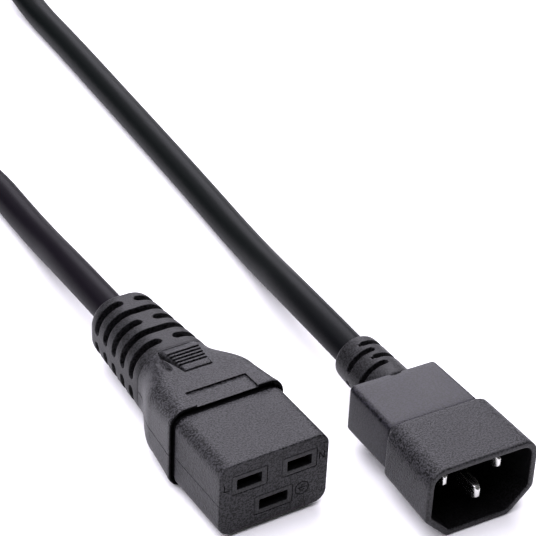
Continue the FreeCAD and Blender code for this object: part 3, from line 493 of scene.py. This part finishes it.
connector = {
    "block": (28.3, 19.4, 3.2), "blockDrop": 0.15, "blockLength": 20.8, "axisHeight": 10.9,
    "gripFront": (30.2, 21.8, 4.2), "gripRear": (28.4, 20.6, 5.0), "gripEnd": 31.0,
    "reliefStart": 44.8, "shoulderSteps": 16, "shoulderPower": 1.1, "rise": 0.65, "length": 72.7,
    "reliefRoot": (19.9, 19.7, 7.2), "reliefEnd": (16.9, 16.5, 6.6), "endEdge": 1.4,
    "slotRows": 5, "slotPitch": 4.85, "slotStart": 49.1, "slotWidth": 2.2, "slotsFrom": 46.3,
    "topEnd": 1.6, "passesTop": False, "sideWeb": 2.2, "coreRadius": 5.1, "middleLines": 11,
    "cableHole": 4.23,
    # the slots of even and odd rows as signed travels, None where a slot ends beside a side web
    "slots": (((None, -1.6), (1.6, None)), ((None, None),)),
    # three stretches of lines in a quarter of the grip: as many lines as in a quarter of the relief
    "gripLines": 9, "smallestCorner": 0.3,
    # rings along the block and round the collar's outer edge: (y, drop inside the outline)
    "blockRings": ((0.0, 3.0), (0.0, 0.8), (0.0, 0.35), (0.03, 0.13), (0.13, 0.03), (0.35, 0.0), (2, 0.0),
                   (6, 0.0), (12, 0.0), (17, 0.0), (19.7, 0.0), (20.0, 0.05), (20.15, 0.2), (20.25, 0.4),
                   (21.5, 0.4), (22.4, 0.4)),
    "edgeRings": ((20.82, 0.2), (20.92, 0.07), (21.15, 0.01), (21.8, 0.0)),
    # the collar's front, with a gap round the block and a fine step, painted near-black as shade: (y, share
    # of the way outward)
    "collarRings": ((22.4, 0.05), (22.3, 0.3), (21.2, 0.34), (20.92, 0.36), (20.84, 0.44)),
    "gripShares": (0.2, 0.45, 0.7, 0.9),
    "neckRings": ((45.0, 0.02), (45.12, 0.16), (45.3, 0.2), (45.5, 0.1)),
    # the rings where the gap and the collar's front (painted near-black as shade), the rest of the collar
    # and the boot begin
    "finishes": ((12, "recess"), (22, "moulded"), (46, "boot")),
}
low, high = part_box("c19_overmould")
connectorBase = Vector(((low.x + high.x) / 2 / mm, low.y / mm,
                        low.z / mm + connector["axisHeight"] - connector["rise"]))


def gripQuarter(outline):
    width, _, corner = outline
    flat = width / 2 - corner
    stops = (0, flat, flat + corner * math.pi / 2, quarterLength(*outline))
    lines = [0.0]
    for start, end in zip(stops, stops[1:]):
        lines += spread(start, end, connector["gripLines"])
    return lines


def inset(outline, amount):
    width, height, corner = outline
    return (width - 2 * amount, height - 2 * amount, max(connector["smallestCorner"], corner - amount))


def connectorRings():
    spec = connector
    rise = spec["rise"]
    rings = []

    def add(y, outline, lift=rise):
        rings.append(ringAt(y, outline, gripQuarter(outline), lift))

    for y, drop in spec["blockRings"]:
        add(y, inset(spec["block"], drop), rise - spec["blockDrop"])
    front = spec["gripFront"]
    for y, share in spec["collarRings"]:
        add(y, between(spec["block"], front, share), rise - spec["blockDrop"] * (1 - share))
    for y, drop in spec["edgeRings"]:
        add(y, inset(front, drop))
    for share in spec["gripShares"]:
        y = spec["blockLength"] + (spec["gripEnd"] - spec["blockLength"]) * share
        add(y, between(front, spec["gripRear"], share))
    for i in range(spec["shoulderSteps"] + 1):
        step = i / spec["shoulderSteps"]
        ease = easeInOut(step ** spec["shoulderPower"])
        y = spec["gripEnd"] + (spec["reliefStart"] - spec["gripEnd"]) * step
        outline = between(spec["gripRear"], spec["reliefRoot"], ease)
        quarter = between(gripQuarter(outline), reliefQuarter(outline, spec), ease)
        rings.append(ringAt(y, outline, quarter, rise * (1 - ease)))
    for y, drop in spec["neckRings"]:
        outline = inset(spec["reliefRoot"], drop)
        rings.append(ringAt(y, outline, reliefQuarter(outline, spec)))
    rings += slottedRings(spec) + roundedEnd(spec)
    return [[tuple(connectorBase + Vector(point)) for point in ring] for ring in rings]


connectorBody = ringLoft("c19Body", connectorRings(), "moulded", finishes=connector["finishes"])
subdivide(connectorBody, 1)
print("C19 body", len(connectorBody.data.polygons))


def cornered(corners, radius, steps=4):
    # the outline of a polygon with rounded corners; radius is one size or a size per corner
    outline = []
    count = len(corners)
    for i, corner in enumerate(corners):
        size = radius[i] if isinstance(radius, (list, tuple)) else radius
        here = Vector(corner)
        before = (Vector(corners[i - 1]) - here).normalized()
        after = (Vector(corners[(i + 1) % count]) - here).normalized()
        turn = math.pi - before.angle(after)
        reach = size * math.tan(turn / 2)
        middle = here + (before + after).normalized() * (size / math.cos(turn / 2))
        first = here + before * reach - middle
        last = here + after * reach - middle
        for step in range(steps + 1):
            share = step / steps
            outline.append(middle + first.slerp(last, share).normalized() * size)
    return outline


def rectangle(width, height, across=0.0, up=0.0):
    return [(across - width / 2, up + height / 2), (across + width / 2, up + height / 2),
            (across + width / 2, up - height / 2), (across - width / 2, up - height / 2)]


def along(y, outline):
    return [tuple(connectorBase + Vector((x, y, z))) for x, z in outline]


def upright(z, outline):
    return [tuple(connectorBase + Vector((x, y, z))) for x, y in outline]


pad = {
    "front": 34.2, "rear": 44.75, "frontHalf": 3.45, "rearHalf": 4.7, "top": 11.1, "root": 5,
    "corners": (0.3, 0.3, 0.1, 0.1), "edge": 0.1,
    "shares": (0.0, 0.05, 0.15, 0.3, 0.5, 0.62, 0.74, 0.86, 0.9, 0.94, 0.97, 1.0),
    "ribs": 5, "ribPitch": 1.18, "ribWidth": 0.68, "ribDepth": 0.75, "ribLength": 20,
    "ribStart": 36.5, "landStart": 41.9, "landEnd": 9.8, "landPower": 1.5,
    # how far a face leans sideways or forward before it counts as a flank or as the front
    "flank": -0.6, "frontFace": -0.9,
}
gap = {
    # a deep slot along one side, fine lines at the front and the other side
    "front": 0.4, "rear": 0.8, "depth": 1.9, "end": 44.9, "bend": 42.6, "lean": 0.2, "frontLine": 2.2,
    "corners": (0.4, 0.1, 0.1, 0.1, 1.8),
    # (height above its floor, share of the slot's width, width of the fine lines)
    "walls": ((0.0, 0.8, 0.1), (0.2, 1.0, 0.14), (1.2, 1.0, 0.16), (6.0, 1.0, 0.2)),
}
scoop = {
    "middle": (-6.73, 40.2), "size": (1.6, 4.4), "depth": 0.85, "top": 9.9, "height": 1.6, "lean": 0.1,
    "shares": (0.12, 0.35, 0.6, 0.82, 1.0, 1.15), "steepest": 0.999, "wall": 20, "points": 28,
}


def makeGap():
    front, half, wide = pad["front"], pad["frontHalf"], pad["rearHalf"]
    rings = []
    for lift, share, line in gap["walls"]:
        left, rear = gap["front"] * share, gap["rear"] * share
        start = front - line * gap["frontLine"]
        corners = [(-half - left, start), (half + line, start), (wide + line, gap["end"]),
                   (-wide - rear * gap["lean"], gap["end"]), (-wide - rear, gap["bend"])]
        plan = cornered(corners, gap["corners"])
        rings.append(upright(pad["top"] - gap["depth"] + lift, plan))
    return ringLoft("padGapCutter", rings, "recess", False)


def makeScoop():
    # shallow hollow for the thumb's edge beside the slot
    (x, y), (width, length) = scoop["middle"], scoop["size"]
    rings = []
    for share in scoop["shares"]:
        bowl = 1 - math.sqrt(max(0.0, 1 - min(share, scoop["steepest"]) ** 2))
        lift = bowl + max(0.0, share - 1) * scoop["wall"]
        outline = []
        for turn in circle(scoop["points"]):
            across, onward = width * share * math.cos(turn), length * share * math.sin(turn)
            outline.append((x + across - onward * scoop["lean"], y + onward))
        rings.append(upright(scoop["top"] - scoop["depth"] + lift * scoop["height"], outline))
    return ringLoft("scoopCutter", rings, "moulded", False)


def makePad():
    rings = []
    for share in pad["shares"]:
        y = pad["front"] + (pad["rear"] - pad["front"]) * share
        half = pad["frontHalf"] + (pad["rearHalf"] - pad["frontHalf"]) * share
        fall = max(0.0, (y - pad["landStart"]) / (pad["rear"] - pad["landStart"]))
        top = pad["top"] - (pad["top"] - pad["landEnd"]) * fall ** pad["landPower"]
        root = top - pad["root"]
        outline = cornered([(-half, top), (half, top), (half, root), (-half, root)], pad["corners"])
        rings.append(along(y, outline))
    made = ringLoft("c19ThumbPad", rings, "moulded")
    made.data.materials.append(materials["recess"])
    for face in made.data.polygons:
        # the undercut flank and the short front face take the near-black finish: painted shade
        if face.normal.x < pad["flank"] or face.normal.y < pad["frontFace"]:
            face.material_index = 1
    return made


def ribTree():
    # cuts a row of equal grooves across whatever mesh comes in
    tree = bpy.data.node_groups.new("thumbRibs", "GeometryNodeTree")
    face = tree.interface
    face.new_socket(name="Geometry", in_out="INPUT", socket_type="NodeSocketGeometry")
    for name, kind in (("Grooves", "NodeSocketInt"), ("Pitch", "NodeSocketFloat"),
                       ("Start", "NodeSocketVector"), ("Groove Size", "NodeSocketVector"),
                       ("Finish", "NodeSocketMaterial")):
        face.new_socket(name=name, in_out="INPUT", socket_type=kind)
    face.new_socket(name="Geometry", in_out="OUTPUT", socket_type="NodeSocketGeometry")
    nodes = tree.nodes
    source = nodes.new("NodeGroupInput")
    result = nodes.new("NodeGroupOutput")
    row = nodes.new("GeometryNodeMeshLine")
    step = nodes.new("ShaderNodeCombineXYZ")
    bar = nodes.new("GeometryNodeMeshCube")
    spots = nodes.new("GeometryNodeInstanceOnPoints")
    real = nodes.new("GeometryNodeRealizeInstances")
    cut = nodes.new("GeometryNodeMeshBoolean")
    cut.operation, cut.solver = "DIFFERENCE", "EXACT"
    paint = nodes.new("GeometryNodeSetMaterial")
    joins = [(source.outputs["Grooves"], row.inputs["Count"]), (source.outputs["Pitch"], step.inputs["Y"]),
             (step.outputs[0], row.inputs["Offset"]),
             (source.outputs["Start"], row.inputs["Start Location"]),
             (source.outputs["Groove Size"], bar.inputs["Size"]),
             (row.outputs["Mesh"], spots.inputs["Points"]), (bar.outputs["Mesh"], spots.inputs["Instance"]),
             (spots.outputs[0], real.inputs[0]), (source.outputs["Geometry"], cut.inputs["Mesh 1"]),
             (real.outputs[0], cut.inputs["Mesh 2"]), (cut.outputs["Mesh"], paint.inputs["Geometry"]),
             (source.outputs["Finish"], paint.inputs["Material"]), (paint.outputs[0], result.inputs[0])]
    for output, socket in joins:
        tree.links.new(output, socket)
    return tree


def withNodes(made, tree, **values):
    step = made.modifiers.new(tree.name, "NODES")
    step.node_group = tree
    for item in tree.interface.items_tree:
        if item.in_out == "INPUT" and item.name.replace(" ", "") in values:
            step[item.identifier] = values[item.name.replace(" ", "")]
    return finished(made)


panel = {"width": 16.0, "front": 20.3, "rear": 26.6, "floorFront": 11.1, "floorRear": 10.72, "corner": 0.25,
         "height": 3.0}


def makePanelCutter():
    half = panel["width"] / 2
    rings = []
    for lift in (0.0, panel["height"]):
        plan = cornered([(-half, panel["front"]), (half, panel["front"]), (half, panel["rear"]),
                         (-half, panel["rear"])], panel["corner"])
        ring = []
        for x, y in plan:
            share = (y - panel["front"]) / (panel["rear"] - panel["front"])
            floor = panel["floorFront"] + (panel["floorRear"] - panel["floorFront"]) * share
            ring.append(tuple(connectorBase + Vector((x, y, floor + lift))))
        rings.append(ring)
    return ringLoft("panelCutter", rings, "moulded", False)


towers = {
    # (across, up, width of the blade entry, width) for line, neutral and earth
    "contacts": ((-6.5, 4.3, 6.4, 9.1), (6.5, 4.3, 6.4, 9.1), (0.0, -3.7, 7.4, 9.9)),
    "height": 5.2, "entryHeight": 2.8, "gap": 0.1, "depth": 6.0,
    "corner": 0.45, "entryCorner": 0.18, "smallestCorner": 0.1,
    # (y, drop) from deep inside to the face, then back in through the blade entry
    "outside": ((5.8, 0.0), (0.3, 0.0), (0.12, 0.03), (0.03, 0.12), (0.03, 0.3)),
    # from ring 7 on, the blade entry's inner walls take the near-black finish: painted shade
    "inside": ((0.03, -0.1), (0.05, -0.03), (0.12, 0.0), (5.2, 0.0)), "finishes": ((7, "recess"),),
}


def towerHole(x, z, width):
    margin = towers["gap"]
    shape = rectangle(width + 2 * margin, towers["height"] + 2 * margin, x, z)
    outline = cornered(shape, towers["corner"] + margin)
    rings = [along(y, outline) for y in (-1, towers["depth"])]
    return ringLoft("towerHole", rings, "moulded", False)


def makeTower(name, x, z, entry, width):
    rings = []
    for y, drop in towers["outside"]:
        shape = rectangle(width - 2 * drop, towers["height"] - 2 * drop, x, z)
        corner = max(towers["smallestCorner"], towers["corner"] - drop)
        rings.append(along(y, cornered(shape, corner)))
    for y, drop in towers["inside"]:
        shape = rectangle(entry - 2 * drop, towers["entryHeight"] - 2 * drop, x, z)
        rings.append(along(y, cornered(shape, towers["entryCorner"])))
    return shadeByAngle(ringLoft(name, rings, "inner", finishes=towers["finishes"]), 50)


marks = {
    "depth": 0.22, "width": 0.25, "start": -0.5, "points": 28,
    # outlines across and up, about the middle of each mark
    "line": ((-12.2, 4.3), ((-0.88, 0.95), (-0.62, 0.95), (-0.62, -0.7), (0.7, -0.7), (0.7, -0.95),
                            (-0.88, -0.95))),
    "neutral": ((12.35, 4.3), ((-0.75, -1), (-0.75, 1), (-0.45, 1), (0.49, -0.5), (0.49, 1), (0.75, 1),
                               (0.75, -1), (0.45, -1), (-0.49, 0.5), (-0.49, -1))),
    "earth": ((7.45, -3.3), ((-0.13, 1.05), (0.13, 1.05), (0.13, 0.25), (1.05, 0.25), (1.05, 0), (-1.05, 0),
                             (-1.05, 0.25), (-0.13, 0.25))),
    "bars": ((0.72, -0.42), (0.36, -0.88)), "ring": 1.75,
}


def markCutter():
    # engraved outlines beside the three entries
    points, faces = [], []

    def addRun(outlines, closed):
        count = len(outlines[0])
        first = len(points)
        for outline in outlines:
            points.extend(outline)
        for row in range(len(outlines) - 1 + closed):
            near, far = first + row * count, first + (row + 1) % len(outlines) * count
            for i in range(count):
                j = (i + 1) % count
                faces.append((near + i, near + j, far + j, far + i))
        if not closed:
            last = len(points)
            faces.append(tuple(range(first, first + count)))
            faces.append(tuple(range(last - 1, last - count - 1, -1)))

    def addBlock(middle, outline):
        moved = [(x + middle[0], z + middle[1]) for x, z in outline]
        addRun([along(y, moved) for y in (marks["start"], marks["depth"])], False)

    for pole in poles:
        addBlock(*marks[pole])
    middle, half = marks["earth"][0], marks["width"] / 2
    for reach, level in marks["bars"]:
        addBlock(middle, ((-reach, level - half), (reach, level - half), (reach, level + half),
                          (-reach, level + half)))
    inner, outer = marks["ring"] - half, marks["ring"] + half
    rings = []
    for y, size in ((marks["start"], inner), (marks["start"], outer), (marks["depth"], outer),
                    (marks["depth"], inner)):
        outline = [(middle[0] + math.cos(turn) * size, middle[1] + math.sin(turn) * size)
                   for turn in circle(marks["points"])]
        rings.append(along(y, outline))
    addRun(rings, True)
    return makeObject("markCutter", points, faces, "recess", False)


parting = {
    # where the line runs: along the block, then from the collar to the boot
    "places": [-1.0, 6, 13, 20.7, 21.3] + [21.5 + 1.5 * i for i in range(17)],
    "collar": 21.0, "blockLevel": -0.35, "level": -0.3, "depth": 0.22, "half": 0.142, "above": 0.02,
    "beyond": 1,
}


def partingCutter(side):
    # a hairline along the side, where the two halves of the mould met
    spec = connector
    depth, rise, above, beyond = parting["depth"], parting["half"], parting["above"], parting["beyond"]
    rings = []
    for y in parting["places"]:
        level = parting["level"]
        if y < parting["collar"]:
            width, level = spec["block"][0], parting["blockLevel"]
        elif y < spec["gripEnd"]:
            share = (y - spec["blockLength"]) / (spec["gripEnd"] - spec["blockLength"])
            width = between(spec["gripFront"], spec["gripRear"], share)[0]
        else:
            share = (y - spec["gripEnd"]) / (spec["reliefStart"] - spec["gripEnd"])
            ease = easeInOut(min(1.0, share))
            width, level = between(spec["gripRear"], spec["reliefRoot"], ease)[0], level * (1 - ease)
        half = width / 2
        groove = ((half - depth, 0.0), (half + above, rise), (half + beyond, rise), (half + beyond, -rise),
                  (half + above, -rise))
        rings.append([tuple(connectorBase + Vector((side * x, y, level + z))) for x, z in groove])
    return ringLoft("partingLine", rings, "moulded", False)


for cutter in (makeScoop(), makeGap(), markCutter(), partingCutter(-1), partingCutter(1), makePanelCutter()):
    carve(connectorBody, cutter)
towerPieces = []
for pole, (x, z, entry, width) in zip(poles, towers["contacts"]):
    carve(connectorBody, towerHole(x, z, width))
    towerPieces.append(makeTower("c19Tower" + pole.capitalize(), x, z, entry, width))
shadeByAngle(connectorBody, 38)
thumbPad = withNodes(makePad(), ribTree(), Grooves=pad["ribs"], Pitch=pad["ribPitch"] * mm,
                     Start=[connectorBase.x * mm, (connectorBase.y + pad["ribStart"]) * mm,
                            (connectorBase.z + pad["top"]) * mm],
                     GrooveSize=[pad["ribLength"] * mm, pad["ribWidth"] * mm, 2 * pad["ribDepth"] * mm],
                     Finish=materials["moulded"])
shadeByAngle(bevel(thumbPad, pad["edge"], 40), 40)
for piece in [connectorBody, thumbPad]:
    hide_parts("c19_overmould")
for piece in towerPieces:
    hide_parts("c19_contact_carrier")
for piece in [connectorBody, thumbPad] + towerPieces:
    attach(piece, "root")
print("C19 connector made")


plug = {
    "base": (39.7, -59.57, 11.9), "turn": -2.4, "length": 54.3,
    # a section is its width, height, lower chamfer, upper and lower corner radius
    "shroud": (29.3, 20.0, 6.2, 4.3, 2.4), "shroudShift": 0.3, "shroudTaper": 1.5, "shroudLength": 18.6,
    "shroudDrop": 1.9, "wall": 1.7, "recess": 16.2,
    "grip": (24.4, 17.4, 5.2, 1.4, 1.4), "gripTaper": 0.7, "gripDrop": 2.2,
    "gripStart": 20.0, "gripEnd": 37.2, "lean": -0.028,
    "cornerSteps": 6, "fill": 5, "smallestCorner": 0.4, "lowerShare": 0.6,
    # rings in the recess: (y from its floor or from the face, inset beyond the wall), then round the face
    "floorRings": ((0.0, 3.0), (0.0, 0.6), (-0.05, 0.2), (-0.5, 0.0)),
    "wallRings": ((12, 0.0), (6, 0.0), (1.5, 0.0), (0.45, 0.0), (0.16, -0.07), (0.03, -0.3), (0.0, -0.6)),
    "faceRings": ((0.0, 0.62), (0.04, 0.32), (0.2, 0.1), (0.5, 0.0)),
    "shroudShares": (0.15, 0.4, 0.7, 0.93, 0.985),
    # the shroud's last ring: (y from its end, inset); then the bevel between it and the grip
    "bevelEdge": (-0.05, 0.08), "bevelStart": 0.1, "bevelInsets": (0.45, 0.25),
    "bevelShares": (0.15, 0.4, 0.7, 0.95),
    # rings along the grip: (y, share of its taper, inset), the last ones counted from its end
    "gripRings": ((20.05, 0.0, 0.12), (20.3, 0.01, 0.0), (24, 0.25, 0.0), (30, 0.6, 0.0)),
    "gripEndRings": ((1.0, 0.95, 0.0), (0.4, 1.0, 0.04), (0.1, 1.0, 0.2), (0.0, 1.0, 0.5), (0.0, 1.0, 3.0)),
    # the rings where the lip, the outside and the grip begin; the recess's floor and walls before them take
    # the near-black finish as painted shade
    "finishes": ((8, "inner"), (14, "moulded"), (24, "smooth")),
    "reliefStart": 37.2, "reliefRoot": (13.4, 13.4, 6.7), "reliefEnd": (12.2, 12.2, 6.1), "endEdge": 1.2,
    "cableHole": 4.23,
    "rootRings": (35.5, 37.21, 37.8, 39.0), "slotsFrom": 40.2,
    "slotRows": 4, "slotPitch": 2.93, "slotStart": 41.6, "slotWidth": 1.5,
    "slots": (((None, 0.8),), ((-1.4, None),)), "topEnd": 1.1, "passesTop": True, "sideWeb": 2.2,
    "coreRadius": 4.9, "middleLines": 11,
    # (across, up, distance behind the face) for line, neutral and earth
    "pins": ((-7.3, 1.0, 3.7), (7.3, 1.0, 3.7), (0.0, -3.0, 0.75)), "pinSize": (2.0, 4.0), "pinCorner": 0.22,
    # (y from the tip, drop at the sides, drop above and below), then the place where all the pins end
    "tipRings": ((0.0, 0.85, 1.3), (0.0, 0.72, 1.1), (0.15, 0.52, 0.8), (0.9, 0.2, 0.3), (2.0, 0.0, 0.0)),
    "pinEnd": 17.0,
}


def onPlug(x, y, z):
    turn = math.radians(plug["turn"])
    # only the grip leans, up to the ring that closes it
    if plug["gripStart"] < y < plug["gripEnd"] + 0.01:
        x += plug["lean"] * (y - plug["gripStart"])
    baseX, baseY, baseZ = plug["base"]
    return (baseX + x * math.cos(turn) - y * math.sin(turn), baseY + x * math.sin(turn) + y * math.cos(turn),
            baseZ + z)


def plugRing(y, shape, drop, inset=0.0, aside=0.0):
    # square above, both lower corners cut; inset keeps all walls parallel
    width, height, chamfer, upper, lower = shape
    half, rise = width / 2 - inset, height / 2 - inset
    cut = chamfer - inset * (2 - math.sqrt(2))
    upper = max(plug["smallestCorner"], upper - inset)
    lower = max(plug["smallestCorner"], lower - inset * plug["lowerShare"])
    points = [(-half, rise), (half, rise), (half, cut - rise), (half - cut, -rise), (cut - half, -rise),
              (-half, cut - rise)]
    steps, fill = plug["cornerSteps"], plug["fill"]
    outline = cornered(points, [upper, upper, lower, lower, lower, lower], steps)
    filled = []
    for i, (x, z) in enumerate(outline):
        nextX, nextZ = outline[(i + 1) % len(outline)]
        filled.append((x, z))
        if i % (steps + 1) == steps:
            filled += [(x + (nextX - x) * k / fill, z + (nextZ - z) * k / fill) for k in range(1, fill)]
    return [onPlug(x + aside, y, z - drop) for x, z in filled]


def narrowed(shape, amount):
    return (shape[0] - amount,) + tuple(shape[1:])


def shroudRing(y, inset=0.0, taper=0.0):
    shape = narrowed(plug["shroud"], plug["shroudTaper"] * taper)
    return plugRing(y, shape, plug["shroudDrop"], inset, plug["shroudShift"])


def gripRing(y, taper, inset):
    return plugRing(y, narrowed(plug["grip"], plug["gripTaper"] * taper), plug["gripDrop"], inset)


def plugRings():
    spec = plug
    wall, length = spec["wall"], spec["shroudLength"]
    rings = [shroudRing(spec["recess"] + y, wall + inset) for y, inset in spec["floorRings"]]
    rings += [shroudRing(y, wall + inset) for y, inset in spec["wallRings"]]
    rings += [shroudRing(y, inset) for y, inset in spec["faceRings"]]
    rings += [shroudRing(length * share, taper=share) for share in spec["shroudShares"]]
    behind, inset = spec["bevelEdge"]
    rings.append(shroudRing(length + behind, inset, 1.0))
    start, (outer, inner) = length + spec["bevelStart"], spec["bevelInsets"]
    for share in spec["bevelShares"]:
        y = start + (spec["gripStart"] - start) * share
        ahead = Vector(onPlug(0, y, 0)) - Vector(onPlug(0, 0, 0))
        pairs = zip(shroudRing(0, outer, 1.0), gripRing(0, 0.0, inner))
        rings.append([tuple(Vector(a).lerp(Vector(b), share) + ahead) for a, b in pairs])
    rings += [gripRing(*ring) for ring in spec["gripRings"]]
    rings += [gripRing(spec["gripEnd"] - back, taper, inset) for back, taper, inset in spec["gripEndRings"]]
    return rings


def plugRelief():
    rings = []
    for y in plug["rootRings"]:
        outline = reliefAt(y, plug)
        rings.append(ringAt(y, outline, reliefQuarter(outline, plug)))
    rings += slottedRings(plug) + roundedEnd(plug)
    return [[onPlug(*point) for point in ring] for ring in rings]


def makePin(name, x, z, setback):
    width, height = plug["pinSize"]
    rings = []
    for y, side, end in plug["tipRings"] + ((plug["pinEnd"] - setback, 0.0, 0.0),):
        shape = cornered(rectangle(width - 2 * side, height - 2 * end, x, z), plug["pinCorner"], 3)
        rings.append([onPlug(a, setback + y, b) for a, b in shape])
    return shadeByAngle(ringLoft(name, rings, "nickel"), 40)


# the recess's floor and walls, in the near-black finish, are painted shade
plugBody = subdivide(ringLoft("c14Body", plugRings(), "recess", finishes=plug["finishes"]), 1)
plugBoot = subdivide(ringLoft("c14StrainRelief", plugRelief(), "boot"), 1)
pinPieces = [makePin("c14Pin" + pole.capitalize(), *spot) for pole, spot in zip(poles, plug["pins"])]
for piece in (plugBody, plugBoot):
    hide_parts("c14_overmould")
for piece, name in zip(pinPieces, poles):
    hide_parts("c14_pin_" + name)
plugPieces = [plugBody, plugBoot] + pinPieces
for piece in plugPieces:
    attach(piece, "root")
print("C14 plug made")


cable = {
    "diameter": 8.4, "length": 1.5,
    "fromC19": ((0, 36.2, 10.25), (0, 59.2, 10.25), (3.4, 92, 4.2), (4.8, 128, 4.2), (-6, 166, 4.2),
                (-22, 204, 4.2), (-31.4, 236, 4.2), (-31.4, 264.7, 4.2)),
    "toC14": ((62.4, 264.7, 12.6), (62.4, 246, 12.6), (61.6, 214, 4.2), (60.2, 186, 4.2), (57, 142, 4.2),
              (53.4, 94, 4.2), (50, 56, 4.2), (42.97, 18.33, 11.9), (41.96, -5.65, 11.9)),
    "coilMiddle": (15.5, 294), "inner": 38.5, "perTurn": 20,
}


def coilPoints():
    # clockwise: out, in, up, out again, always beside the turn before
    inner = cable["inner"]
    outer = inner + cable["diameter"]
    low, high = cable["diameter"] / 2, cable["diameter"] * 1.5
    stops = ((180, outer, low), (-100, outer, low), (-150, inner, low), (-410, inner, low),
             (-460, inner, high), (-720, inner, high), (-770, outer, high), (-1080, outer, high))
    middleX, middleY = cable["coilMiddle"]
    stretch = 1 / math.cos(math.pi / cable["perTurn"])
    points = []
    turn = 360 / cable["perTurn"]
    angle = stops[0][0] - turn / 2
    while angle > stops[-1][0]:
        for (first, radius, height), (last, nextRadius, nextHeight) in zip(stops, stops[1:]):
            if last <= angle <= first:
                share = easeInOut((first - angle) / (first - last))
                reach = (radius + (nextRadius - radius) * share) * stretch
                z = height + (nextHeight - height) * share
        around = math.radians(angle)
        points.append((middleX + reach * math.cos(around), middleY + reach * math.sin(around), z))
        angle -= turn
    return points


def makeCable():
    curve = bpy.data.curves.new("cable", "CURVE")
    curve.dimensions = "3D"
    spline = curve.splines.new("NURBS")
    points = list(cable["fromC19"]) + coilPoints() + list(cable["toC14"])
    spline.points.add(len(points) - 1)
    for point, place in zip(spline.points, points):
        point.co = (*[part * mm for part in place], 1)
    spline.order_u = 3
    spline.use_endpoint_u = True
    spline.resolution_u = 10
    curve.bevel_depth = cable["diameter"] / 2 * mm
    curve.bevel_resolution = 7
    curve.use_fill_caps = True
    curve.materials.append(materials["cable"])
    return addObject("cable", curve)


tie = {"width": 10.0, "sheet": 1.0, "ridges": 11, "groove": 0.12, "corner": 3.0, "cornerSteps": 8,
       "bottom": 0.02}
low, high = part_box("coil_tie")


def makeTie():
    # a soft band round the turns, woven across its width
    middleX = (low.x + high.x) / 2 / mm
    near, far, top = low.y / mm, high.y / mm, high.z / mm
    bottom, sheet = tie["bottom"], tie["sheet"]

    def band(depth, corner):
        left, right, under, over = near + depth, far - depth, bottom + depth, top - depth
        corners = [(left, under), (right, under), (right, over), (left, over)]
        return cornered(corners, corner, tie["cornerSteps"])

    inner, outer = band(sheet, tie["corner"]), band(0.0, tie["corner"] + sheet)
    points, faces = [], []
    columns = tie["ridges"] * 2
    count = len(outer)
    for side, outline in ((1, outer), (0, inner)):
        for i in range(columns + 1):
            x = middleX + tie["width"] * (i / columns - 0.5)
            depth = tie["groove"] if i % 2 and side else 0.0
            for j, (y, z) in enumerate(outline):
                pull = (Vector(inner[j]) - Vector(outer[j])) * depth
                points.append((x, y + pull.x, z + pull.y))
    shift = (columns + 1) * count
    for i in range(columns):
        for j in range(count):
            a, b = i * count + j, i * count + (j + 1) % count
            faces.append((a, b, b + count, a + count))
            faces.append((a + shift, a + count + shift, b + count + shift, b + shift))
    for i in (0, columns):
        for j in range(count):
            a, b = i * count + j, i * count + (j + 1) % count
            faces.append((a, b, b + shift, a + shift))
    return shadeByAngle(makeObject("coilTie", points, faces, "tie"), 50)


cableCurve = makeCable()
coilTie = makeTie()
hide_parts("cable_from_c19", "cable_coil", "cable_to_c14")
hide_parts("coil_tie")
for piece in (cableCurve, coilTie):
    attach(piece, "root")
kept = {"c14_pin_carrier": "inner"}
for pole in poles:
    kept["c19_contact_" + pole] = "brass"
for side in ("c19", "c14"):
    for pole in poles:
        kept[side + "_conductor_" + pole] = "copper"
        kept[side + "_insulation_" + pole] = pole
for name, finish in kept.items():
    mesh = nodeObjects[name].data
    mesh.materials.clear()
    mesh.materials.append(materials[finish])
farPieces = plugPieces + [coilTie] + [nodeObjects[name] for name in kept if name.startswith("c14")]
print("cable made")


studio = {
    "floor": 6.0, "floorColour": (0.97, 0.97, 0.97, 1), "tint": (0.93, 0.90, 1.0), "world": 0.14,
    # power in watts, size and places in metres
    "key": {"power": 20.0, "size": 1.0, "place": (0.66, 0.98, 0.80), "target": (0.02, 0.0, 0.0)},
    "top": {"power": 58.0, "size": 2.3, "place": (-0.3, 0.3, 1.25), "target": (0.0, 0.05, 0.0)},
}
view = {
    "lens": 134.33, "sensor": 36.0, "place": (-0.19004, -0.32207, 0.29592),
    "right": (0.8521, -0.5218, 0.0399), "up": (0.2604, 0.489, 0.8325), "back": (-0.4539, -0.699, 0.5526),
}


def makeFloor():
    half = studio["floor"] / 2
    mesh = bpy.data.meshes.new("floor")
    corners = [(-half, -half, 0), (half, -half, 0), (half, half, 0), (-half, half, 0)]
    mesh.from_pydata(corners, [], [(0, 1, 2, 3)])
    mesh.materials.append(Bench("paleGround").feed(Base_Color=studio["floorColour"], Roughness=0.9))
    return addObject("floor", mesh)


def areaLight(name, power, size, place, target):
    lamp = bpy.data.lights.new(name, "AREA")
    lamp.energy, lamp.shape, lamp.size = power, "DISK", size
    lamp.color = studio["tint"]
    made = addObject(name, lamp)
    made.location = place
    made.rotation_euler = (Vector(target) - Vector(place)).to_track_quat("-Z", "Y").to_euler()


def makeCamera():
    lens = bpy.data.cameras.new("camera")
    lens.lens, lens.sensor_width = view["lens"], view["sensor"]
    made = addObject("camera", lens)
    made.location = view["place"]
    turn = made.rotation_euler.to_matrix()
    turn.col[0], turn.col[1], turn.col[2] = view["right"], view["up"], view["back"]
    made.rotation_euler = turn.to_euler()
    bpy.context.scene.camera = made


makeFloor()
for name in ("key", "top"):
    areaLight(name, **studio[name])
bpy.context.scene.view_settings.view_transform = "Standard"
sky = bpy.data.worlds.new("studio")
sky.use_nodes = True
colour, strength = list(sky.node_tree.nodes["Background"].inputs)[:2]
colour.default_value = (1, 1, 1, 1)
strength.default_value = studio["world"]
bpy.context.scene.world = sky
makeCamera()
print("stage set")
